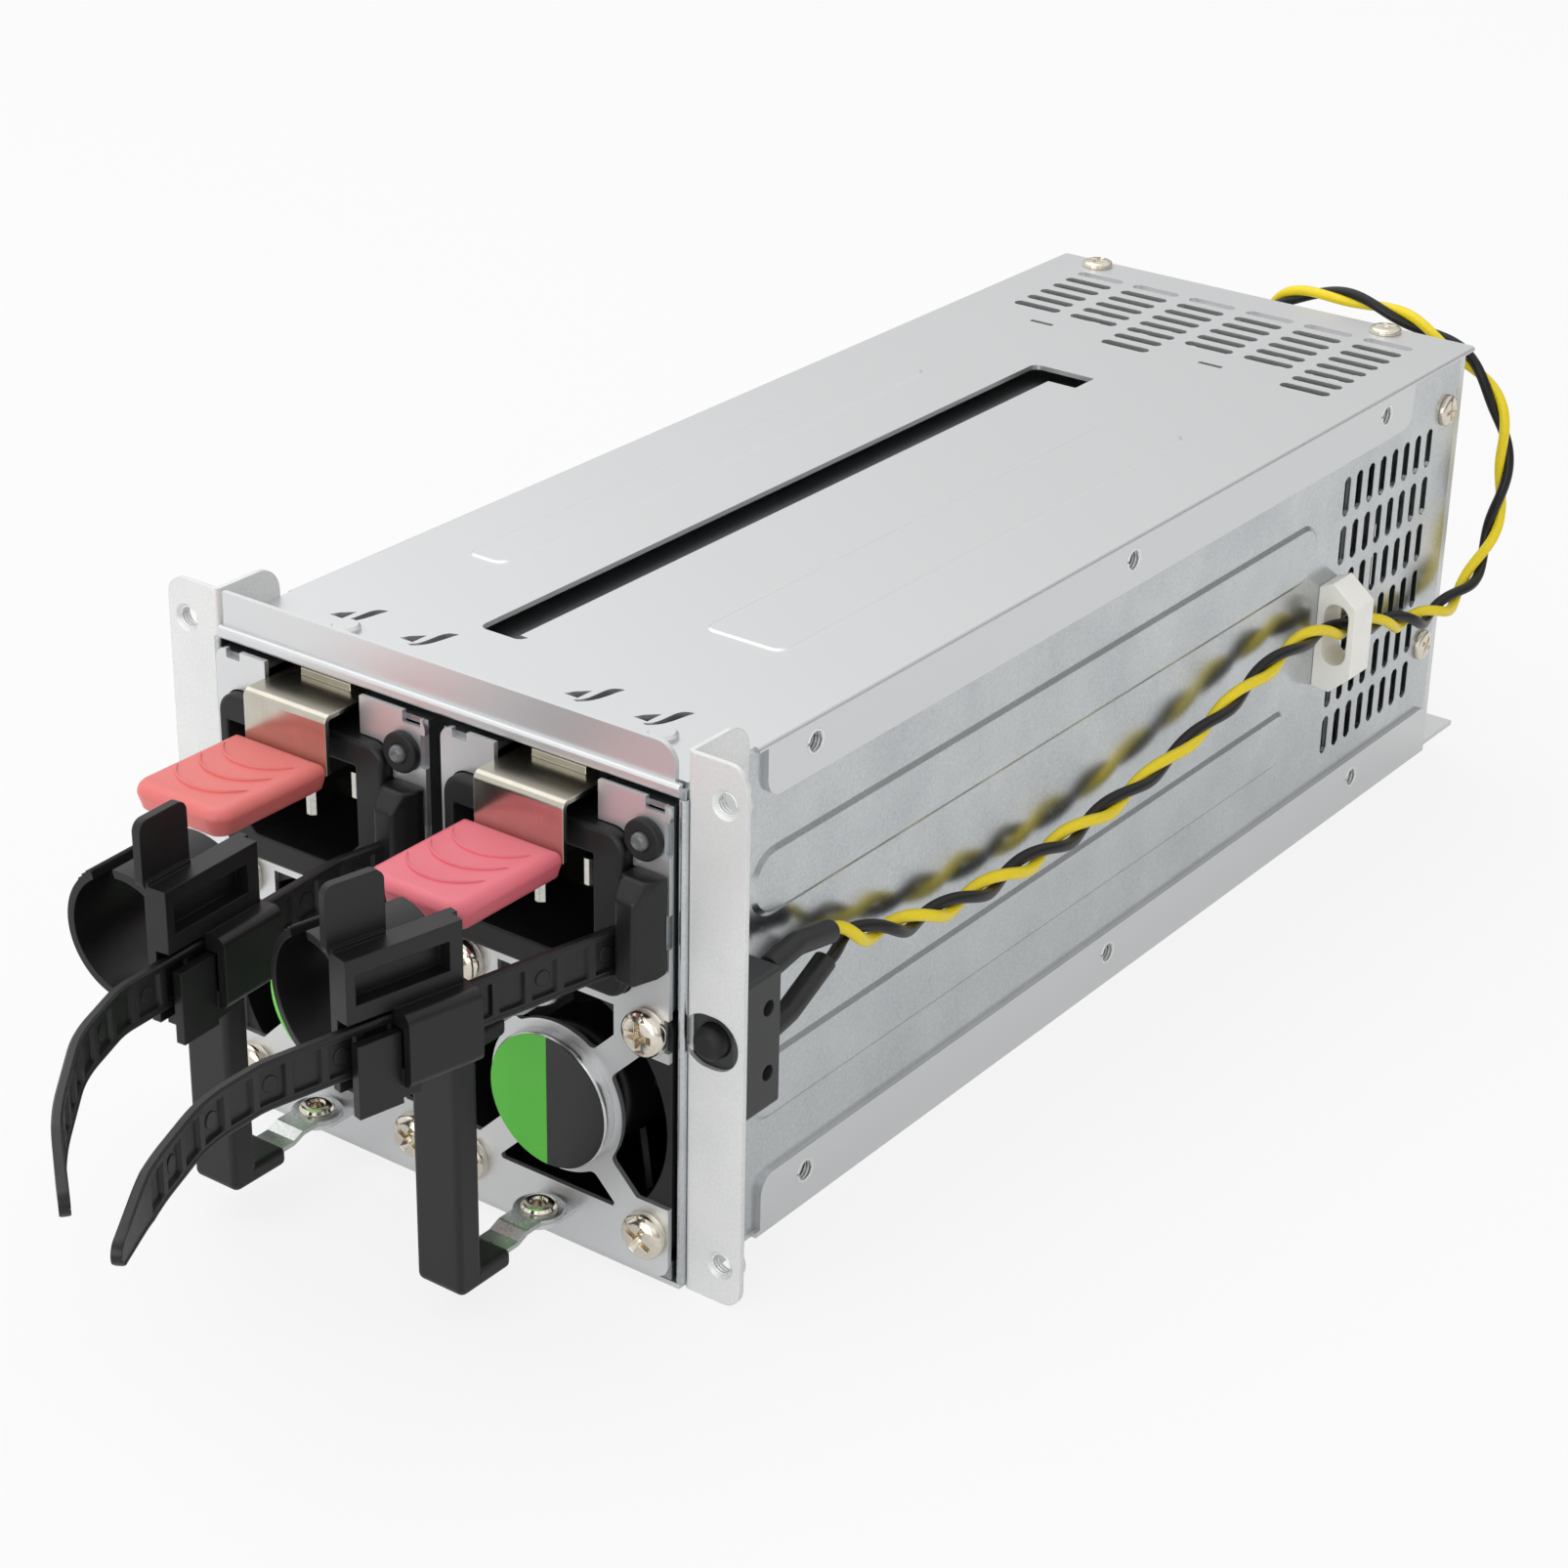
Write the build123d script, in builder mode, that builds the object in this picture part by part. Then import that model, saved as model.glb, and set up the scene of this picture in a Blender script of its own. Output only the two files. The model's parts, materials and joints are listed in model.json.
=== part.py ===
from build123d import *
import math
import os

# Hot swap power supply: a sheet steel cage that holds two modules side by side.
# Each module slides out to the front. X is to the right, Y to the rear, Z up.
# The origin is at the foot of the cage, midway between the ears, in their plane.

# Sheet metal
sheet = 0.8
bend_radius = 0.7
flange_corner = 3.0
hole_flare = 1.15
bead_height = 0.5
bead_slope = 0.8
panel_height = 0.22
panel_slope = 65

# Modules and the room around them
module_width = 39.2
module_height = 72.8
module_depth = 184.0
module_gap = 2.8
side_clearance = 0.3
floor_clearance = 0.4
roof_clearance = 2.2
rear_room = 40.0

# Cage front
ear_width = 9.0
ear_rise = 5.0
ear_flange = 12.4
ear_corner = 3.0
ear_bend = 1.0
ear_back_corner = 4.0
ear_boss = 1.4
ear_countersink = 0.5
ear_hole_radius = 1.65
ear_hole_edge = 3.5
ear_hole_low = 6.0
hem_depth = 0.9
hem_width = 1.3
hem_height = 2.0
lip_shift = -0.4
lip_gap = 0.6
lip_corner = 3.0
lip_foot = 12.5
notch_width = 8.5
notch_height = 8.0

# Cage sides, roof and rear
flange_drop = 8.4
flange_start = 16.7
flange_end = 201.5
side_hole_radius = 1.6
side_hole_first = 27.4
side_hole_pitch = 82.1
bead_start = 14.0
bead_width = 10.5
bead_low = 23.3
bead_low_length = 153.0
bead_high = 55.5
bead_high_length = 157.5
vent_width = 2.2
vent_length = 7.0
vent_pitch = 4.27
vent_row_pitch = 8.85
vent_columns = 8
vent_rows = 6
vent_low = 17.4
vent_middle = 196.0
roof_vent_length = 9.3
roof_vent_pitch = 11.8
roof_vent_row_pitch = 4.3
roof_vent_rows = 6
roof_vent_margin = 9.0
roof_vent_shift = -5.3
lance_width = 1.0
lance_length = 4.6
lance_places = [(-23.4, 186.3), (11.3, 185.7)]
flap_left = -12.4
flap_fold = -4.4
flap_start = 21.8
flap_length = 145.0
flap_drop = 1.6
flap_relief = 6.0
flap_ramp = 2.0
finger_cuts = [-28.3, -15.0, 14.8, 26.8]
finger_cut_y = 12.0
panel_places = [(-28.1, 7.2), (19.5, 14.0)]
panel_start = 41.0
panel_length = 111.0
rear_flange = 8.0
case_screw_radius = 2.8
case_screw_head = 1.7
case_screw_inset = 3.0
roof_screw_x = [-33.3, 26.5]
wall_screw_z = [22.4, 67.1]
cover_rivet_radius = 2.2
cover_rivet_head = 0.9
cover_rivet_places = [(-26.2, 9.4), (30.4, 9.4)]
rear_gap = 3.5
rear_tab = 14.0
rear_tab_inset = 8.0
rear_tab_reach = 10.0

# Rear of the cage and what is behind the modules
outlet_half = 28.0
outlet_low = 12.0
outlet_high = 40.0
lead_hole = [-5.6, 56.0]
lead_hole_radius = 2.6
rear_vent_x = [-24.0, 16.0]
rear_vent_z = 60.0
rear_vent_pitch = 5.2
divider_start = 6.0
divider_past = 8.0
divider_corner = 4.0
board_gap = 10.0
board_thickness = 1.6
board_side_gap = 0.4
edge_left = 14.0
edge_margin = 3.0
socket_wall = 3.2
socket_low = 17.0
socket_high = 58.0
header_half = 26.0
header_low = 14.0
header_high = 38.0
contact_pitch = 4.2
contact_size = 3.2
contact_depth = 9.0

# Front plate of a module
plate_front = -2.0
plate_corner = 2.0
plate_margin = 0.5
plate_lip = 0.6
hub_radius = 11.6
arm_width = 4.4
guard_width = 20.4
guard_height = 32.0
guard_side_height = 23.0
notch_places = [40.0, 55.8, 69.4]
fit = 0.15

# Fan
fan_size = 39.2
fan_depth = 28.0
fan_rise = 3.1
fan_bore = 18.8
fan_screw_pitch = 32.0
fan_screw_radius = 1.6
fan_screw_head = 3.5
fan_screw_rise = 2.3
fan_screw_length = 9.0
fan_corner = 3.0
fan_flange = 4.0
fan_post = 2.6
strut_width = 2.0
strut_depth = 3.0
rotor_radius = 10.0
rotor_length = 18.5
rotor_gap = 2.5
rotor_wall = 1.2
rotor_face = 1.7
blade_tip = 17.8
blade_count = 7
blade_thickness = 1.0
blade_root_chord = 11.0
blade_tip_chord = 12.0
blade_root_turn = 38
blade_tip_turn = 58
shaft_radius = 1.5
shaft_length = 14.0
running_fit = 0.05
badge_radius = 10.3
badge_height = 2.0

# Power inlet
inlet_width = 31.2
inlet_height = 24.8
inlet_shift = -2.2
inlet_front = -4.0
inlet_depth = 26.0
inlet_corner = 3.0
mouth_width = 24.2
mouth_height = 16.6
mouth_shift = -3.8
mouth_depth = 17.0
mouth_cut = 4.5
pin_pitch = 14.0
pin_width = 2.0
pin_height = 4.0
pin_rise = 2.0
pin_recess = 5.0
earth_pin_recess = 3.0
pin_root = 7.0

# Indicator
led_x = 15.8
led_below_top = 5.3
led_flange = 3.0
led_flange_rise = 1.3
led_barrel = 2.2
led_barrel_length = 5.0
lens_radius = 1.35
lens_length = 4.0
lens_dome = 0.9

# Latch
latch_left = -9.6
latch_right = 5.8
latch_reach = 4.9
latch_root = 28.0
latch_below_top = 1.5
pad_left = -11.6
pad_length = 21.0
pad_thickness = 4.2
pad_below_top = 8.5
pad_corner = 2.6
pad_edge = 0.35
tongue_grip = 2.0
hook_inset = 3.0
hook_start = 1.5
hook_length = 3.0
hook_slope = 1.2
hook_gap = 0.3

# Pull handle
grip_width = 8.0
grip_front = -27.0
grip_depth = 4.5
grip_foot = 6.0
grip_low = 5.2
grip_high = 44.4
grip_foot_height = 2.8
grip_corner = 1.5
grip_edge = 0.9
strap_width = 5.2
strap_eye = 3.7
crank_start = 5.5
crank_end = 7.5
pivot_y = -6.0
pivot_rise = 2.2
tab_margin = 0.8
tab_gap = 0.4
rivet_radius = 1.5
rivet_head = 2.6
rivet_head_rise = 0.9
rivet_foot = 2.1
rivet_foot_rise = 0.35

# Cord strap and its clip
band_height = 7.0
band_thickness = 1.4
band_low = 50.0
pocket_pitch = 5.2
pocket_width = 3.8
pocket_height = 4.6
pocket_depth = 0.4
pocket_first = 15.0
tip_taper = 13.0
tip_half = 1.7
anchor_left = 13.8
anchor_width = 5.6
anchor_depth = 5.8
anchor_height = 14.6
anchor_foot = 0.4
anchor_cut = 2.4
anchor_peg = 3.4
ring_radius = 9.6
ring_wall = 1.1
ring_length = 14.5
ring_x = -7.4
ring_rise = 0.5
ring_front = 6.5
clip_wall = 1.4
clip_left = -2.4
clip_front = -8.8
clip_back = 9.6
window_rise = 10.0
lock_right = 4.2
lock_front = -1.7
lock_foot = 2.5
lock_cavity = 6.0
flap_left_face = 1.1
flap_foot = 5.0
tab_width = 8.8
tab_height = 10.0

# Inside a module
lid_flange = 6.0
lid_flange_start = 16.0
lid_cut = 9.0
shell_vent_x = -4.0
shell_vent_pitch = 4.4
module_board_start = 46.0
edge_reach = 7.5
large_cans = [62, 88]
large_can_rise = 26.0
large_can_radius = 11.0
large_can_length = 28.0
small_cans = [60, 74, 88]
small_can_rise = 50.0
small_can_radius = 5.0
small_can_length = 20.0
core_start = 112.0
core_length = 34.0
core_width = 24.0
core_height = 36.0
core_rise = 32.0
core_corner = 3.0
core_margin = 4.0

# Alarm switch and its lead
switch_width = 6.5
switch_front = 1.0
switch_depth = 10.5
switch_low = 27.0
switch_high = 48.0
switch_hole_radius = 1.15
switch_hole_y = 7.9
switch_hole_places = [32.7, 42.7]
lug_places = [36.6, 46.2]
lug_size = 1.8
lug_thickness = 0.8
lug_length = 1.0
button_radius = 2.5
button_travel = 1.5
button_side = 3.5
button_z = 40.4
button_front = -1.4
button_edge = 1.3
button_seat = 1.0
lead_diameter = 3.8
sleeve_radius = 1.7
sleeve_bend = 6.0
saddle_reach = 6.4
saddle_start = 174.0
saddle_length = 6.5
saddle_hole = [45.3, 39.6]
saddle_hole_width = 4.6
saddle_hole_height = 11.0

# Worked out from the sizes above
pitch = module_width + module_gap
wall_in = pitch / 2 + module_width / 2 + side_clearance
wall_out = wall_in + sheet
cage_half = wall_out + sheet
shell_z0 = sheet + floor_clearance
shell_z1 = shell_z0 + module_height
roof_z0 = shell_z1 + roof_clearance
cage_height = roof_z0 + sheet
cage_depth = module_depth + rear_room
ear_top = cage_height + ear_rise
ear_edge = cage_half + ear_width
wall_rear = cage_depth - rear_gap
frame_z0 = roof_z0 - 1.2
plate_back = plate_front + sheet
plate_z0 = shell_z0 + plate_margin
plate_z1 = shell_z1 + plate_lip
fan_z = shell_z0 + fan_rise + fan_size / 2
fan_top = fan_z + fan_size / 2
fan_back = plate_back + fan_depth
fan_offset = fan_screw_pitch / 2
inlet_z0 = fan_top + 0.5
inlet_z1 = inlet_z0 + inlet_height
inlet_z = (inlet_z0 + inlet_z1) / 2
inlet_left = inlet_shift - inlet_width / 2
inlet_right = inlet_shift + inlet_width / 2
led_z = shell_z1 - led_below_top
latch_z = shell_z1 - latch_below_top
pad_z1 = shell_z1 - pad_below_top
pad_z0 = pad_z1 - pad_thickness
latch_front = plate_front - latch_reach
grip_back = grip_front + grip_depth
foot_back = grip_back + grip_foot
pivot_low = grip_low + pivot_rise
pivot_high = grip_high - pivot_rise
band_high = band_low + band_height
ear_hole_x = ear_edge - ear_hole_edge
side_holes = [side_hole_first + side_hole_pitch * i for i in range(3)]
side_hole_high = cage_height - 3.7
side_hole_low = 5.5
base_flange = side_hole_low + 3.8
board_front = module_depth + board_gap
edge_right = edge_left + board_thickness
button_x = cage_half + button_side

os.makedirs("parts", exist_ok=True)


def upright(y):
    """The plane across the cage at depth y, drawn in x and z. Positive extrusions go to the front."""
    return Plane.XZ.offset(-y)


def block(x, y, z, mode=Mode.ADD):
    """A box between pairs of limits, added to or cut from the piece being built."""
    with Locations(((x[0] + x[1]) / 2, (y[0] + y[1]) / 2, (z[0] + z[1]) / 2)):
        Box(x[1] - x[0], y[1] - y[0], z[1] - z[0], mode=mode)


def rod(radius, start, length, direction, mode=Mode.ADD):
    """A round bar or hole from a point, along a direction."""
    with BuildSketch(Plane(origin=start, z_dir=direction)) as section:
        Circle(radius)
    extrude(section.sketch, amount=length, mode=mode)


def vent(width, height):
    """The outline of one vent: a slot whose ends are cut to three flats."""
    with BuildSketch() as outline:
        Rectangle(width, height)
        chamfer(outline.vertices(), length=vent_width * 0.3)
    return outline.sketch


def finger_cut():
    """The two slits of a finger cut-out: a wedge and a curl beside it."""
    with BuildSketch() as slits:
        with BuildLine():
            Polyline((-3.4, 0.0), (-1.0, 0.0), (-0.9, 3.0), (-2.6, 1.4), close=True)
        make_face()
        with BuildLine():
            Spline((-1.2, -0.8), (0.2, 1.6), (0.8, 5.2), (2.4, 6.0))
            Spline((2.4, 6.0), (2.0, 4.4), (1.2, 1.0), (-0.4, -1.0))
            Line((-0.4, -1.0), (-1.2, -0.8))
        make_face()
    return slits.sketch


def save(piece, name):
    """Writes a piece to its file, under its own name."""
    piece.label = name
    export_step(piece, f"parts/{name}.step")


# Cage floor
with BuildPart() as base_tray:
    with BuildSketch(Plane.XY):
        with Locations((0, (wall_rear - hem_depth) / 2)):
            Rectangle(2 * cage_half, wall_rear + hem_depth)
        with Locations((cage_half - rear_tab_inset, cage_depth + rear_tab_reach - rear_tab / 2)):
            Rectangle(rear_tab, rear_tab)
        with Locations((cage_half, 0), (-cage_half, 0)):
            Rectangle(2 * sheet, 2 * flange_start - 2, mode=Mode.SUBTRACT)
    extrude(amount=sheet)
    for side in (-1, 1):
        start = side * wall_out
        with BuildSketch(Plane.YZ.offset(min(start, start + side * sheet))):
            with Locations(((flange_start + wall_rear) / 2, base_flange / 2)):
                Rectangle(wall_rear - flange_start, base_flange)
        extrude(amount=sheet)
    flange_tops = edges().filter_by(Axis.X).filter_by_position(Axis.Z, base_flange, base_flange)
    fillet(flange_tops, radius=flange_corner)
    for side in (-1, 1):
        for y in side_holes:
            rod(side_hole_radius, (side * cage_half, y, side_hole_low), sheet, (-side, 0, 0), Mode.SUBTRACT)
save(base_tray.part, "base_tray")

# Cage roof, with side flanges, vents and the lanced flap over the left module
with BuildPart() as top_cover:
    with BuildSketch(Plane.XY.offset(roof_z0)):
        with Locations((0, (cage_depth + sheet) / 2)):
            Rectangle(2 * cage_half, cage_depth - sheet)
        with Locations((cage_half, 0), (-cage_half, 0)):
            Rectangle(2 * sheet, 2 * flange_start - 4, mode=Mode.SUBTRACT)
    extrude(amount=sheet)
    for side in (-1, 1):
        start = side * wall_out
        with BuildSketch(Plane.YZ.offset(min(start, start + side * sheet))):
            with Locations(((flange_start + flange_end) / 2, cage_height - flange_drop / 2)):
                Rectangle(flange_end - flange_start, flange_drop)
        extrude(amount=sheet)
    lower = cage_height - flange_drop
    flange_ends = edges().filter_by(Axis.X).filter_by_position(Axis.Z, lower, lower)
    fillet(flange_ends, radius=flange_corner)
    roof_bends = edges().filter_by(Axis.Y).filter_by_position(Axis.Z, cage_height, cage_height)
    fillet(roof_bends.group_by(SortBy.LENGTH)[-1], radius=bend_radius)
    for side in (-1, 1):
        for y in side_holes:
            rod(side_hole_radius, (side * cage_half, y, side_hole_high), sheet, (-side, 0, 0), Mode.SUBTRACT)
    with BuildSketch(Plane.XY.offset(roof_z0)):
        last_row = cage_depth - roof_vent_margin
        for column in (-2, -1, 0, 1, 2, 3):
            x = column * roof_vent_pitch + roof_vent_shift
            rows = range(roof_vent_rows + 2 if column in (0, 3) else roof_vent_rows)
            with Locations(*[(x, last_row - row * roof_vent_row_pitch) for row in rows]):
                add(vent(roof_vent_length, vent_width))
        with Locations(*lance_places):
            Rectangle(lance_length, lance_width)
        with Locations(((flap_left + flap_fold) / 2, flap_start + flap_length / 2)):
            RectangleRounded(flap_fold - flap_left, flap_length, 1.5)
        with Locations((flap_fold, flap_start + flap_length - flap_relief / 2)):
            Rectangle(flap_fold - flap_left, flap_relief)
        for x in finger_cuts:
            with Locations((x, finger_cut_y)):
                add(finger_cut())
    extrude(amount=sheet, mode=Mode.SUBTRACT)
    ramp_top = flap_fold - bend_radius * 2
    ramp_foot = ramp_top - flap_ramp
    with BuildSketch(upright(flap_start + bend_radius * 2)):
        with BuildLine():
            Polyline((flap_fold, cage_height), (ramp_top, cage_height), (ramp_foot, cage_height - flap_drop),
                     (ramp_foot, roof_z0 - flap_drop), (ramp_top, roof_z0), (flap_fold, roof_z0), close=True)
        make_face()
    extrude(amount=flap_relief + bend_radius * 2 - flap_length)
    for x, width in panel_places:
        with BuildSketch(Plane.XY.offset(cage_height)):
            with Locations((x, panel_start + panel_length / 2)):
                RectangleRounded(width, panel_length, bend_radius * 3)
        extrude(amount=panel_height, taper=panel_slope)
save(top_cover.part, "top_cover")


# Side walls with embossed beads, a block of vents and a rolled front edge
def side_wall(side):
    outer = side * wall_out
    inner = side * wall_in
    with BuildPart() as wall:
        with BuildSketch(Plane.YZ.offset(min(outer, inner))):
            with Locations((wall_rear / 2, (sheet + roof_z0) / 2)):
                Rectangle(wall_rear, roof_z0 - sheet)
            with Locations((vent_middle, (vent_rows - 1) * vent_row_pitch / 2 + vent_low)):
                with GridLocations(vent_pitch, vent_row_pitch, vent_columns, vent_rows):
                    add(vent(vent_width, vent_length), mode=Mode.SUBTRACT)
        extrude(amount=sheet)
        for z, length in ((bead_low, bead_low_length), (bead_high, bead_high_length)):
            for face, trim, mode in ((outer, 0, Mode.ADD), (inner, sheet, Mode.SUBTRACT)):
                with BuildPart(mode=Mode.PRIVATE) as bead:
                    for rise, inset in ((0, 0), (bead_height, bead_slope)):
                        with BuildSketch(Plane.YZ.offset(face + side * rise)):
                            with Locations((bead_start + length / 2, z)):
                                SlotOverall(length - trim - 2 * inset, bead_width - trim - 2 * inset)
                    loft()
                add(bead.part, mode=mode)
        for y in side_holes:
            for z in (side_hole_low, side_hole_high):
                rod(side_hole_radius, (outer, y, z), sheet, (-side, 0, 0), Mode.SUBTRACT)
        hem = sorted((inner, inner + side * hem_width))
        with BuildSketch(Plane.XY.offset(sheet)):
            with Locations(((hem[0] + hem[1]) / 2, -hem_depth / 2)):
                Rectangle(hem_width, hem_depth)
                fillet(vertices().group_by(Axis.Y)[0], radius=hem_width * 0.45)
        extrude(amount=frame_z0 - sheet)
    return wall.part


save(side_wall(-1), "side_wall_left")
save(side_wall(1), "side_wall_right")


# Ears: angle brackets on the walls, with an extruded and threaded hole near each end
def ear_bracket(side):
    with BuildPart() as ear:
        with BuildSketch(Plane.XY):
            with BuildLine():
                Polyline((side * wall_out, ear_flange), (side * wall_out, 0), (side * ear_edge, 0),
                         (side * ear_edge, sheet), (side * cage_half, sheet), (side * cage_half, ear_flange),
                         close=True)
            make_face()
            corner = vertices().group_by(Axis.Y)[0].sort_by(Axis.X)
            fillet(corner[-1] if side < 0 else corner[0], radius=ear_bend)
        extrude(amount=ear_top)
        ends = edges().filter_by(Axis.Y).filter_by_position(Axis.X, side * ear_edge, side * ear_edge)
        fillet(ends, radius=ear_corner)
        back = edges().filter_by(Axis.X).filter_by_position(Axis.Y, ear_flange, ear_flange)
        fillet(back.sort_by(Axis.Z)[-1], radius=ear_back_corner)
        for z in (ear_hole_low, ear_top - ear_hole_low):
            rod(ear_hole_radius + hole_flare, (side * ear_hole_x, sheet, z), ear_boss, (0, 1, 0))
            rod(ear_hole_radius, (side * ear_hole_x, 0, z), sheet + ear_boss, (0, 1, 0), Mode.SUBTRACT)
        rims = edges().filter_by(GeomType.CIRCLE).filter_by_position(Axis.Y, 0, 0)
        chamfer(rims.filter_by(lambda rim: rim.radius < ear_corner), length=ear_countersink)
        if side > 0:
            with BuildSketch(upright(0)):
                with Locations((wall_out + notch_width / 2, button_z)):
                    SlotOverall(notch_width + sheet, notch_height)
            extrude(amount=-sheet, mode=Mode.SUBTRACT)
    return ear.part


save(Compound(children=[ear_bracket(-1), ear_bracket(1)]), "ear_brackets")

# Lip and rolled edge above the module openings, with a foot under the roof
with BuildPart() as front_frame:
    with BuildSketch(upright(0)):
        with Locations((lip_shift, (frame_z0 + ear_top) / 2)):
            Rectangle(2 * (wall_in - lip_gap), ear_top - frame_z0)
        fillet(vertices().group_by(Axis.Y)[-1].sort_by(Axis.X)[-1], radius=lip_corner)
    extrude(amount=-sheet)
    block((lip_gap - wall_in, wall_in - lip_gap), (sheet / 2, lip_foot), (roof_z0 - sheet, roof_z0))
    with BuildSketch(Plane.YZ.offset(lip_gap - wall_out)):
        with Locations((-hem_depth / 2, frame_z0 + hem_height / 2)):
            Rectangle(hem_depth, hem_height)
        fillet(vertices().group_by(Axis.X)[0], radius=hem_depth * 0.75)
    extrude(amount=2 * (wall_out - lip_gap))
save(front_frame.part, "front_frame")

# Rear panel: a pan with its flanges to the front
with BuildPart() as rear_panel:
    with BuildSketch(upright(cage_depth)):
        with Locations((0, (sheet + roof_z0) / 2)):
            Rectangle(2 * wall_in, roof_z0 - sheet)
    extrude(amount=rear_flange + rear_gap)
    hollow = faces().sort_by(Axis.Y)[0]
    offset(amount=-sheet, openings=[hollow], kind=Kind.INTERSECTION)
    with BuildSketch(upright(cage_depth)):
        with Locations((0, (outlet_low + outlet_high) / 2)):
            Rectangle(2 * outlet_half, outlet_high - outlet_low)
        with Locations(tuple(lead_hole)):
            Circle(lead_hole_radius)
        with Locations(*[(x, rear_vent_z) for x in rear_vent_x]):
            with GridLocations(rear_vent_pitch, vent_row_pitch, 5, 2):
                add(vent(vent_width, vent_length))
    extrude(amount=sheet, mode=Mode.SUBTRACT)
save(rear_panel.part, "rear_panel")

# Sheet between the two modules, standing on the floor
with BuildPart() as divider:
    block((-sheet / 2, sheet / 2), (divider_start, module_depth + divider_past), (sheet, roof_z0 - 2 * sheet))
    divider_corners = edges().filter_by(Axis.X).filter_by_position(Axis.Y, divider_start, divider_start)
    fillet(divider_corners, radius=divider_corner)
save(divider.part, "divider")


# Fasteners of the cage
def pan_head(centre, direction, radius, height):
    """The domed head of a screw or rivet, standing out along a direction."""
    with BuildPart() as head:
        rod(radius, centre, height, direction)
        foot = Plane(origin=centre, z_dir=direction)
        rims = head.edges().filter_by(GeomType.CIRCLE)
        chamfer(rims.sort_by(lambda rim: foot.to_local_coords(rim.center()).Z)[-1], length=height * 0.45)
    return head.part


heads = []
for x in roof_screw_x:
    place = (x, cage_depth - case_screw_inset, cage_height)
    heads.append(pan_head(place, (0, 0, 1), case_screw_radius, case_screw_head))
for side in (-1, 1):
    for z in wall_screw_z:
        place = (side * wall_out, wall_rear - case_screw_inset - 1, z)
        heads.append(pan_head(place, (side, 0, 0), case_screw_radius, case_screw_head))
save(Compound(children=heads), "case_screws")
rivets = []
for x, y in cover_rivet_places:
    rivets.append(pan_head((x, y, cage_height), (0, 0, 1), cover_rivet_radius, cover_rivet_head))
save(Compound(children=rivets), "cover_rivets")

# Power board behind the modules, its two card edge sockets and the outlet header
with BuildPart() as backplane_board:
    block((board_side_gap - wall_in, wall_in - board_side_gap), (board_front, board_front + board_thickness),
          (sheet, roof_z0 - 2 * sheet))
save(backplane_board.part, "backplane_board")

with BuildPart() as card_edge_sockets:
    for centre in (-pitch / 2, pitch / 2):
        slot = (centre + edge_left - fit, centre + edge_right + fit)
        slot_low = socket_low + edge_margin - fit
        slot_high = socket_high - edge_margin + fit
        block((slot[0] - socket_wall, slot[1] + socket_wall), (module_depth + sheet, board_front),
              (socket_low, socket_high))
        block(slot, (module_depth, board_front - board_thickness), (slot_low, slot_high), Mode.SUBTRACT)
save(card_edge_sockets.part, "card_edge_sockets")

with BuildPart() as output_header:
    header_back = cage_depth - rear_gap
    block((-header_half, header_half), (board_front + board_thickness, header_back),
          (header_low, header_high))
    with BuildSketch(upright(header_back)):
        with Locations((0, (header_low + header_high) / 2)):
            with GridLocations(contact_pitch, contact_pitch, 11, 4):
                Rectangle(contact_size, contact_size)
    extrude(amount=contact_depth, mode=Mode.SUBTRACT)
save(output_header.part, "output_header")

# Alarm switch behind the right ear
with BuildPart() as alarm_switch:
    block((cage_half, cage_half + switch_width), (switch_front, switch_front + switch_depth),
          (switch_low, switch_high))
    fillet(edges().filter_by(Axis.Y).sort_by(Axis.X)[-2:], radius=bend_radius)
    rod(button_radius + running_fit, (button_x, switch_front, button_z), button_seat + button_travel + fit,
        (0, 1, 0), Mode.SUBTRACT)
    for z in switch_hole_places:
        rod(switch_hole_radius, (cage_half + switch_width, switch_front + switch_hole_y, z), switch_width / 2,
            (-1, 0, 0), Mode.SUBTRACT)
    for z in lug_places:
        block((button_x - lug_thickness / 2, button_x + lug_thickness / 2),
              (switch_front + switch_depth, switch_front + switch_depth + lug_length),
              (z - lug_size / 2, z + lug_size / 2))
save(alarm_switch.part, "alarm_switch")

with BuildPart() as alarm_button:
    rod(button_radius, (button_x, button_front, button_z), switch_front + button_seat - button_front,
        (0, 1, 0))
    fillet(edges().filter_by(GeomType.CIRCLE).sort_by(Axis.Y)[0], radius=button_edge)
save(alarm_button.part, "alarm_button")

# Lead sleeves, from the lugs to where the two leads meet
lug_back = switch_front + switch_depth + lug_length
sleeve_bends = [(button_x, 17.5, 37.4), (button_x, 19.0, 47.2)]
sleeve_ends = [(button_x - 0.1, 26.2, 41.6), (button_x - 0.1, 27.2, 45.6)]
with BuildPart() as lead_sleeves:
    for z, bend_point, end_point in zip(lug_places, sleeve_bends, sleeve_ends):
        with BuildLine() as route:
            FilletPolyline((button_x, lug_back + 2 * fit, z), bend_point, end_point, radius=sleeve_bend)
        with BuildSketch(Plane(origin=route.line @ 0, z_dir=route.line % 0)) as section:
            Circle(sleeve_radius)
        sweep(section.sketch, path=route.line)
save(lead_sleeves.part, "lead_sleeves")

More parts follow.
